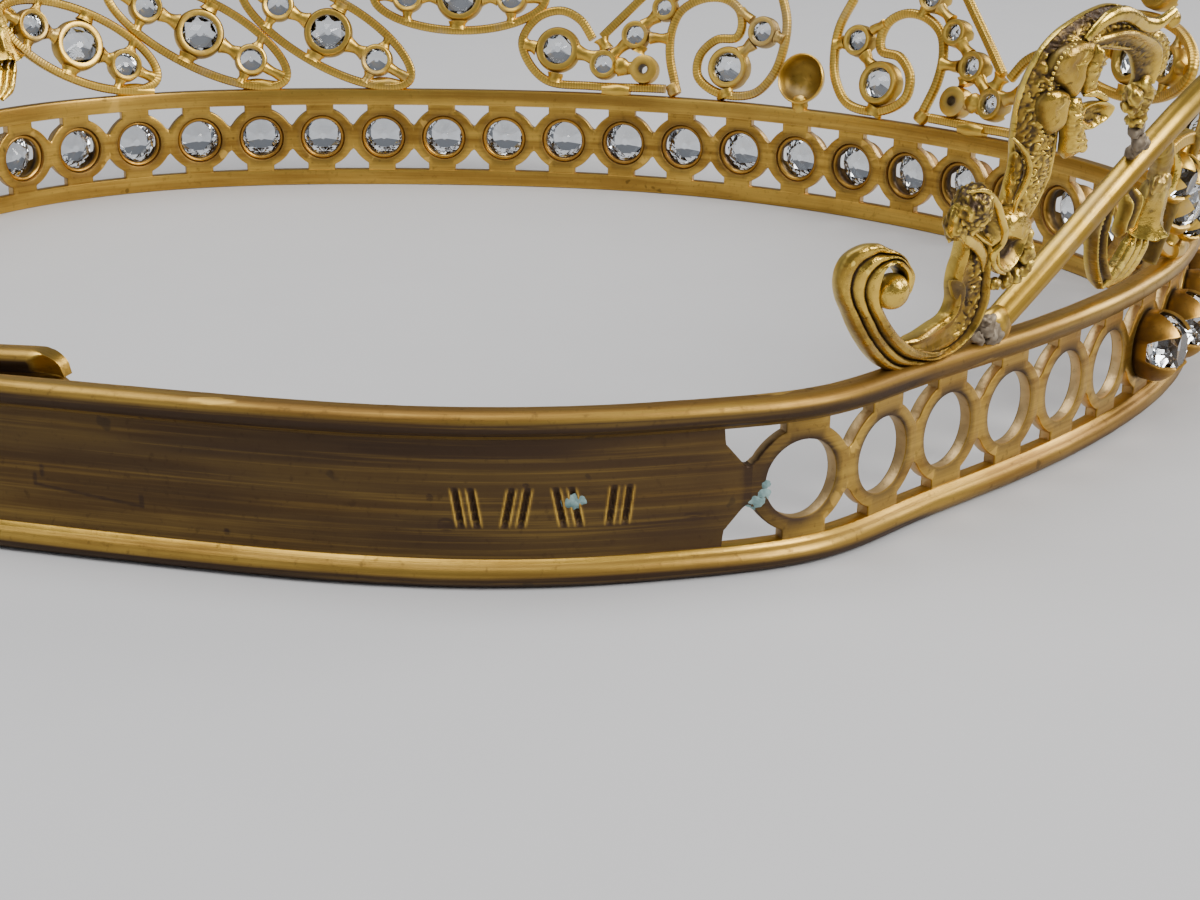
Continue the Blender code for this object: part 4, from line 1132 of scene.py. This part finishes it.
LEAF_IN = ((139.6, 14.2, 0.2), (137.7, 13.5, 0.4), (135.2, 12.9, 0.5), (133.2, 13, 0.5), (131.6, 13.7, 0.5),
    (130.7, 14.5, 0.5), (130.3, 15.6, 0.5), (130.3, 16.9, 0.5), (131, 18.3, 0.6), (131.7, 19.7, 0.6),
    (132, 21.1, 0.6), (132.9, 22.4, 0.6))
ARCH_OUT = raised(-0.5, ((130.6, 22.3), (130.5, 24.2), (130.6, 26), (130.9, 27.8), (131.7, 29.5), (132.3, 31.3),
    (132.6, 33.3), (132.2, 34.9), (131.4, 36.3), (130.2, 37.3), (128.6, 38), (126.7, 38.6), (125, 38.8),
    (123.1, 38.6), (120.8, 38), (118.9, 37.2), (117.6, 36.6)))
ARCH_IN = raised(-0.5, ((127.2, 22.4), (126.5, 24.2), (126.3, 26.2), (126.7, 28.2), (127.3, 29.8), (127.9, 31.4),
    (128.1, 33.1), (127.7, 34.4), (126.7, 35.3), (125.2, 35.6), (123.5, 35.4), (121.6, 35.1), (119.8, 34.9),
    (118.2, 34.9)))


def leaf_grime(t, x):
    """A dark streak that slants down the lower leaf."""
    return 0.8 * gauss(x + 0.15 + 1.2 * (t - 0.6), 0.16) * gauss(t - 0.62, 0.1)


def arch_grime(t, x):
    """A dark stain inside the arch's outer lip."""
    return 0.85 * gauss(x + 0.72, 0.16) * clip01(1.3 - np.abs((t - 0.66) / 0.17) ** 3)


def even_grime(t, x):
    return 0.25 + 0 * t * x


def crests():
    for s, side in SIDES:
        b = Build()
        loft(b, VOLUTE_OUT, VOLUTE_IN, VOLUTE_BAND, s, ends=(0.6, 0.4), rough=0.04, stipple=0.1)
        ball(b, s * 143.4, 20.3, 0.85, 1.32, 0.95, 0.2)
        loft(b, LEAF_OUT, LEAF_IN, LEAF, s, ends=(0.1, 0.7), rough=0.05, height=1.05, fade=(0.35, 0.55),
            grime=leaf_grime)
        folded_tip(b, s)
        calyx(b, s)
        loft(b, ARCH_OUT, ARCH_IN, LIPPED, s, back=0.3, ends=(0.8, 0.5), rough=0.06, grime=arch_grime)
        arch_leaves(b, s)
        hook(b, s)
        lumps(b, s, ((128.2, 14.2, 0.4, 1.05), (129.1, 15.1, 0.8, 0.5), (127.5, 13.6, 0.7, 1), (129, 13.6, 0.5, 0.7)),
            0.75, 61, 0.34, 0.25, 1)
        b.finish("crest_scroll_%s_casting" % side, [CAST, SOLDER], ["crest_scroll_" + side], smooth=60, hollow_shade_and_grime=0.75)


def folded_tip(b, s):
    """The dark rolled-over tip of the lower leaf and the ridges that run down from it."""
    blob(b, s * 136.3, 25.3, 0.85, 1.6, 0.9, 64, 0.1, 0.8, tall=1.15, tooth=0.16, n=64, m=40)
    blob(b, s * 137.0, 24.2, 0.5, 1.1, 0.8, 65, 0.16, 0.6, tall=1.4, tooth=0.12, n=48, m=30)
    lobe(b, (133.9, 23.6, 0.75), ((137, 25.6, 0.6), (135.7, 25.7, 0.9), (133.8, 25, 1.1), (132.2, 23.7, 1.2),
        (131.5, 22.3, 1.2), (132.1, 21.5, 1.1), (133.4, 21.9, 1), (135, 22.7, 0.9), (136.6, 23.7, 0.7),
        (137.3, 24.6, 0.6)), ((0, -0.25), (0.4, -0.15), (0.72, 0.35), (0.9, 0.5), (1, 0)), s, 0.9, 0.08, 0.1,
        ((0, 0.75), (0.6, 0.55), (0.8, 0.05), (1, 0.2)))
    cord(b, ((138.4, 26.7, 1.3), (136.4, 26.5, 1.5), (134.2, 25.2, 1.6), (132.9, 23.9, 1.6), (131.9, 22.8, 1.6),
        (131.6, 21.8, 1.5), (132.1, 21.1, 1.4), (131.8, 20.3, 1.4), (130.9, 19.5, 1.5), (129.6, 19, 1.4)), 0.6, 0.34,
        s)
    cord(b, ((137.8, 23.8, 1.1), (136.2, 22.8, 1.25), (134.2, 21.8, 1.25), (132.8, 20.7, 1.15), (132, 19.6, 1)), 0.95,
        0.32, s)
    lobe(b, (132.8, 20.6, 0.95), ((133.8, 21.3, 0.9), (132.4, 20.7, 1), (131.8, 19.8, 1), (132.9, 20, 0.9),
        (133.7, 20.7, 0.9)), ((0, 0), (0.8, 0), (1, 0)), s, 0.3, 0.02, 0.0, ((0, 1), (1, 1)))
    lobe(b, (134.2, 18.3, 0.65), ((135, 19.2, 0.4), (134, 18.9, 0.8), (133.3, 17.9, 0.9), (133, 17, 0.7),
        (133.9, 17.6, 0.5), (134.5, 18.3, 0.4)), ((0, 0), (0.7, 0.02), (1, 0)), s, 0.3, 0.03, 0.0,
        ((0, 0.85), (1, 0.6)))


def calyx(b, s):
    """The cup at the foot of the arch: a dome above, hollow and brown below, with a raised lip."""
    lobe(b, (129.2, 21.7, 0.75), ((131.3, 23.4, 0), (130.1, 24.2, 0), (128.4, 24.1, -0.1), (127.1, 23.1, 0),
        (126.8, 21.5, 0.2), (127.5, 19.8, 0.5), (128.9, 18.8, 0.8), (130.3, 19.2, 0.7), (131, 20.6, 0.4),
        (131.5, 22.1, 0.1)), ((0, 1), (0.35, 1.12), (0.7, 0.95), (0.9, 0.5), (1, 0)), s, 1.0, 0.05, 0.02,
        ((0, 0.35), (0.3, 0.15), (0.8, 0.1), (1, 0.3)), ((0, 0.5), (0.25, -0.25), (0.55, -0.35), (0.72, 0.15),
        (0.85, 0.62), (0.94, 0.55), (1, 0)), ((0, 0.8), (0.2, 1), (0.6, 0.9), (0.78, 0.1), (1, 0)), rings=22)
    lumps(b, s, ((126.9, 21.3, 0.4, 0.75), (126.2, 20.1, 0.4, 0.85), (125.9, 18.9, 0.5, 0.8), (127, 18.4, 0.7, 0.7),
        (128.2, 18.3, 0.8, 0.6), (129.6, 18.2, 0.8, 0.5)), 0.9, 67, 0.34, 0.45)


def arch_leaves(b, s):
    """The teardrops, leaf tips and ridges that lie on the arch."""
    cord(b, ((132.6, 29.8, 0.2), (131.8, 29, 0.8), (131, 28.2, 1), (130.4, 27.2, 1.15), (130.4, 26, 1.15),
        (130.5, 24.9, 1), (130.2, 23.8, 0.9)), 0.42, 0.25, s)
    lobe(b, (130.9, 26.5, 0.45), ((131.5, 28.6, 0.1), (130.9, 28, 0.5), (130.3, 26.9, 0.7), (130.4, 25.6, 0.7),
        (130.4, 24.4, 0.4), (131, 25.6, 0), (131.2, 27, 0)), ((0, 0.15), (0.8, 0.1), (1, 0)), s, 0.3, 0.05, 0.14,
        ((0, 0.45), (1, 0.3)))
    beads(b, ((129.6, 36.6, 1), (130.5, 36.2, 1), (131, 35.5, 1), (131.2, 34.7, 1), (131.1, 33.8, 1),
        (130.9, 32.8, 1)), 0.15, 0.38, s, 0.1)
    smooth = ((0, 0.62), (0.35, 0.8), (0.65, 0.72), (0.88, 0.42), (1, 0))
    drop = ((0, 0.3), (0.5, 0.1), (0.8, 0.1), (1, 0.8))
    lobe(b, (129.4, 34.9, 1), ((127.3, 36.3, 1.1), (128.7, 36.6, 0.9), (130.2, 36.3, 0.8), (131, 35.7, 0.7),
        (131.2, 34.9, 0.7), (130.7, 34, 0.8), (129.2, 33, 1), (127.8, 32.2, 1.2), (127.5, 33, 1.3), (127.7, 34, 1.3),
        (127.9, 34.9, 1.3), (127.5, 35.6, 1.3)), smooth, s, 0.6, 0.03, 0.0, drop)
    lobe(b, (129.9, 31.6, 1), ((129.9, 33.2, 1), (131, 33.1, 0.8), (131.4, 32.4, 0.7), (131, 31.4, 0.7),
        (130.2, 30.4, 0.8), (129.2, 29.7, 1), (128.3, 30, 1.2), (128.4, 31.1, 1.3), (128.7, 32, 1.3),
        (128.7, 32.7, 1.2)), smooth, s, 0.6, 0.03, 0.0, drop)
    loft(b, ((127.7, 36.2, 1.5), (127.9, 35.4, 1.5), (128, 34.5, 1.5), (127.6, 33.3, 1.5), (127.1, 32.5, 1.5)),
        ((127.2, 36.2, 1.4), (126.7, 35.5, 1.5), (126.3, 34.6, 1.5), (126.4, 33.6, 1.5), (126.6, 32.6, 1.5)), ROUND,
        s, 0.5, stipple=0.24)
    loft(b, ((128.3, 32.4, 1.3), (128.6, 31.6, 1.4), (128.2, 30.5, 1.4), (127.5, 29.3, 1.4), (126.9, 28.1, 1.3),
        (126.2, 27.5, 1.1)), ((127.1, 32.3, 1.4), (126.8, 31.2, 1.5), (126.3, 30.2, 1.6), (125.4, 29.3, 1.6),
        (124.8, 28.6, 1.5), (125.2, 27.7, 1.3)), ROUND, s, 0.6, stipple=0.24, ends=(0.4, 0.15))
    lobe(b, (125.2, 30.9, 1.6), ((127.1, 31.6, 1.6), (125.9, 32, 1.9), (124.6, 31.8, 2.1), (123.6, 31.3, 2.1),
        (123.6, 30.7, 2), (124.4, 30.1, 1.9), (125.3, 29.7, 1.7), (126.3, 30, 1.6), (127.1, 30.8, 1.5)),
        ((0, 0), (0.45, -0.1), (0.72, 0.3), (0.9, 0.42), (1, 0)), s, 0.5, 0.05, 0.06,
        ((0, 0.75), (0.5, 0.65), (0.78, 0.05), (1, 0.1)))
    ball(b, s * 125.5, 28.9, 1.85, 0.42)
    cord(b, ((127.2, 32.5, 1.6), (126.2, 32.6, 1.8), (125.2, 32.2, 1.95), (124.4, 31.9, 2)), 0.6, 0.35, s, dirt=0.2)


HOOKED = band_section(((-1, 0, 0.5, 0), (-0.9, 0.55, 0.1, 0), (-0.6, 0.75, 0, 0), (-0.3, 0.6, 0.05, 0.1),
    (-0.05, 0.35, 0.4, 0.3), (0.4, 0.1, 0.75, 0.5), (0.85, -0.15, 0.85, 0.3), (1, -0.3, 0.8, 0)), 31)


def hook(b, s):
    """The smooth band under the crown of the arch, its turned-up knob, and the hook that comes down to the rail."""
    cord(b, ((128.3, 36.6, 1), (127.6, 37.4, 1.1), (126.6, 38, 1.1), (124.8, 38.2, 1.1), (123.1, 37.8, 1.1),
        (121.5, 37.2, 1.15), (120.1, 37, 1.3), (119.1, 37.4, 1.4), (118.3, 37.9, 1.5)), 1.15, 0.5, s, ends=(0.5, 0.7))
    ball(b, s * 118.0, 37.6, 1.3, 0.72, 0.95, 0.05)
    loft(b, ((127.6, 36.3, 0.6), (126.2, 36.8, 0.8), (124.5, 37, 0.9), (122.8, 36.9, 0.9), (120.9, 36.5, 0.8),
        (118.9, 35.9, 0.7), (117.2, 35, 0.6), (116.3, 33.8, 0.5), (116.2, 32.2, 0.5)),
        ((127.6, 35.4, 0.5), (126.2, 35.6, 0.6), (124.5, 35.7, 0.6), (122.9, 35.5, 0.6), (121.3, 35.1, 0.5),
        (119.8, 34.5, 0.4), (118.7, 33.7, 0.3), (118, 32.9, 0.3), (117.8, 31.9, 0.3)), HOOKED, s, 0.7,
        ends=(0.3, 0.9), rough=0.04)
    loft(b, ((118.4, 36.5, -0.2), (116.6, 36.2, -0.2), (115, 35.3, -0.1), (114.4, 34, 0), (114.8, 32.4, 0.1)),
        ((118.4, 35.4, 0), (117.2, 35, 0), (116.2, 34.2, 0), (115.8, 33.2, 0.1), (116.2, 32.1, 0.2)), ROUND, s, 0.5,
        ends=(0.6, 0.6))
    lumps(b, s, ((116.9, 31.9, 0.5, 0.95), (118.4, 31.6, 0.6, 0.75), (116.4, 31, 0.4, 0.95), (117.9, 30.6, 0.5, 0.7),
        (116, 30, 0.3, 0.85), (115.6, 29.1, 0.2, 0.75)), 1.0, 75, 0.36, 0.35)
    lumps(b, s, ((115, 28.3, 0.3, 0.8), (114.2, 27.3, 0.5, 0.8), (113.2, 27, 0.6, 0.6), (113, 26.4, 0.1, 0.65),
        (113, 25.9, -0.3, 0.7)), 0.7, 85, 0.26, 0.25, 1)


C_OUT = raised(0.0, ((115.2, 22.6), (115.9, 21.4), (115.9, 20), (115.1, 18.4), (113.8, 16.6), (112, 14.9),
    (110.2, 13.7)))
C_IN = raised(0.3, ((114.4, 22.2), (114.7, 21), (114.6, 19.8), (113.9, 18.4), (112.6, 16.8), (110.9, 15.4),
    (109.2, 14.3)))
GROOVED = band_section(((-1, 0, 0.6, 0), (-0.9, 0.5, 0.3, 0), (-0.7, 0.7, 0.1, 0.2), (-0.45, 0.3, 1, 0),
    (0.2, 0.25, 1, 0), (0.45, 0.6, 0.4, 0.3), (0.75, 0.75, 0, 0.1), (1, 0, 0.5, 0)), 25)


def corners():
    for s, side in SIDES:
        b = Build()
        loft(b, C_OUT, C_IN, GROOVED, s, back=0.6, ends=(0.5, 0.5), stipple=0.12, grime=even_grime)
        beads(b, [(u - 0.5, z - 0.05, 0.42) for u, z, o in C_OUT[:-1]], 0.2, 0.42, s, 0.1)
        loft(b, ((113.4, 22.6, 0.6), (112.9, 21.3, 0.8), (112.6, 19.8, 0.7), (111.4, 18.6, 0.5)),
            ((111.8, 23, 0.6), (111.2, 21.8, 0.8), (111, 20.2, 0.7), (110.5, 19, 0.5)), GROOVED, s, 0.6,
            ends=(0.3, 0.3), stipple=0.14)
        for i, d in enumerate((0, 1.1, 2.2)):
            cord(b, ((110.6 - d * 0.8, 14, 0.4), (109.3 - d, 15.3, 0.5 + d * 0.15), (108.5 - d, 16.8, 0.6 + d * 0.15),
                (107.9 - d, 18.6, 0.5)), 1.15, 0.5, s, sink=0.9, rough=0.04)
        bell(b, s)
        cord(b, ((106.5, 22.8, 0.2), (106.8, 24.2, 0.2), (107.6, 25.6, 0.1), (108.7, 26.4, -0.1)), 2.2, 0.8, s,
            ends=(1, 0.5), dirt=0.5, sink=0.9, rough=0.08)
        cord(b, ((105.4, 20.9, 0.9), (104.6, 22.2, 0.9), (104.3, 23.6, 0.6), (104.9, 24.9, 0.2)), 1.1, 0.5, s,
            ends=(0.2, 0.4), rough=0.05)
        blob(b, s * 106.9, 22.6, 0.6, 1.25, 0.7, 91, 0.16, 0.3, tooth=0.08, n=40, m=24)
        if s > 0:
            cord(b, ((100.3, 14.2, 0.3), (100.3, 18, 0.3), (100.7, 22, 0.3), (101.4, 26, 0.3)), 0.7, 0.7, s,
                ends=(1, 1), dirt=0.8, sink=1.3)
        b.finish("corner_scroll_%s_casting" % side, CAST, ["corner_scroll_" + side], smooth=60, hollow_shade_and_grime=0.8)


def bell(b, s):
    """A flared leaf rolled into a bell, its wavy lip downwards, brown inside."""
    c, along, up, axis = seat(s * 106.9, 18.6, 0.4)
    n = 64
    a = turns(n)
    wave = np.cos(3 * a + 1.9) + 0.5 * np.cos(5 * a + 0.4)
    lip = 1 + 0.1 * wave
    flute = 1 + 0.05 * np.cos(6 * a + 0.8)
    rows = [(0.85, 4.3), (1.15, 3.7), (1.25 * flute, 2.9), (1.32 * flute, 2.1), (1.45 * flute, 1.3),
        (1.75 * lip, 0.6), (2.05 * lip, 0.22 * wave + 0.1), (2.1 * lip, 0.22 * wave - 0.02),
        (1.98 * lip, 0.2 * wave - 0.04), (1.5, 0.7), (1.1, 1.6), (0.9, 2.4), (0.25, 2.8)]
    rows = [(r * (1 + 0.03 * np.cos(9 * a + i)), z) for i, (r, z) in enumerate(rows)]
    turned(b, (c, along, axis, up), rows, n, [0.5, 0.35, 0.25, 0.3, 0.2, 0.05, 0, 0, 0.5, 0.95, 1, 1, 1])


# ---- stage, light and camera ----
# Name, place and target in metres, width and height, watts and colour.
LIGHTS = (("overhead", (0.15, 0.15, 0.9), (0, 0, 0), (0.9, 0.7), 7.2, (1, 1, 1)),
    ("window", (-0.75, -0.1, 0.55), (0, 0, 0.03), (0.4, 0.5), 9.0, (1.0, 0.98, 0.95)),
    ("far_window", (-0.4, -0.95, 0.5), (0, 0, 0.03), (0.5, 0.4), 5.0, (1.0, 0.97, 0.93)),
    ("fill", (0.2, 0.95, 0.35), (0, 0, 0.03), (0.8, 0.4), 1.0, (0.95, 0.97, 1.0)))
FLOOR, FLOOR_HALF = (0.56, 0.56, 0.57), 4
SKY, SKY_STRENGTH = (0.9, 0.93, 1.0, 1.0), 0.22
# The photograph's camera: where it stands in metres, its angles in degrees and its focal length.
EYE, AZIMUTH, TILT, ROLL = (-0.13509, 0.15156, 0.0544), 217.5, 19.43, 0.69
FOCAL_PX, PHOTO_WIDTH_PX, SENSOR, CLIP = 1937.0, 1200.0, 36.0, (0.005, 20.0)


def area(name, place, target, size, power, colour):
    light = bpy.data.lights.new(name, "AREA")
    light.shape = "RECTANGLE"
    light.size, light.size_y = size
    light.energy = power
    light.color = colour
    obj = bpy.data.objects.new(name, light)
    obj.location = place
    obj.rotation_mode = "QUATERNION"
    obj.rotation_quaternion = (Vector(target) - Vector(place)).to_track_quat("-Z", "Y")
    bpy.context.scene.collection.objects.link(obj)


def stage():
    mesh = bpy.data.meshes.new("floor")
    corners_at = [(x * FLOOR_HALF, y * FLOOR_HALF, 0) for x, y in ((-1, -1), (1, -1), (1, 1), (-1, 1))]
    mesh.from_pydata(corners_at, [], [(0, 1, 2, 3)])
    mesh.materials.append(mottled("pale_floor", FLOOR, tinted(FLOOR, 0.985), 0.85, 60.0))
    floor = bpy.data.objects.new("floor", mesh)
    bpy.context.scene.collection.objects.link(floor)
    world = bpy.data.worlds.new("studio")
    bpy.context.scene.world = world
    world.use_nodes = True
    back = world.node_tree.nodes["Background"]
    back.inputs["Color"].default_value = SKY
    back.inputs["Strength"].default_value = SKY_STRENGTH
    for light in LIGHTS:
        area(*light)


def camera():
    azimuth, pitch, roll = (math.radians(v) for v in (AZIMUTH, TILT, ROLL))
    look = Vector((-math.sin(azimuth) * math.cos(pitch), math.cos(azimuth) * math.cos(pitch), -math.sin(pitch)))
    flat = Vector((math.cos(azimuth), math.sin(azimuth), 0.0))
    up = flat.cross(look)
    right = flat * math.cos(roll) + up * math.sin(roll)
    top = up * math.cos(roll) - flat * math.sin(roll)
    cam = bpy.data.cameras.new("camera")
    cam.sensor_width = SENSOR
    cam.lens = FOCAL_PX / PHOTO_WIDTH_PX * SENSOR
    cam.clip_start, cam.clip_end = CLIP
    obj = bpy.data.objects.new("camera", cam)
    turn = Matrix((right, top, -look)).transposed()
    obj.matrix_world = Matrix.Translation(EYE) @ turn.to_4x4()
    bpy.context.scene.collection.objects.link(obj)
    bpy.context.scene.camera = obj


camera()
stage()
band()
cups()
navettes()
filigree()
boss()
peak()
rails()
crests()
corners()
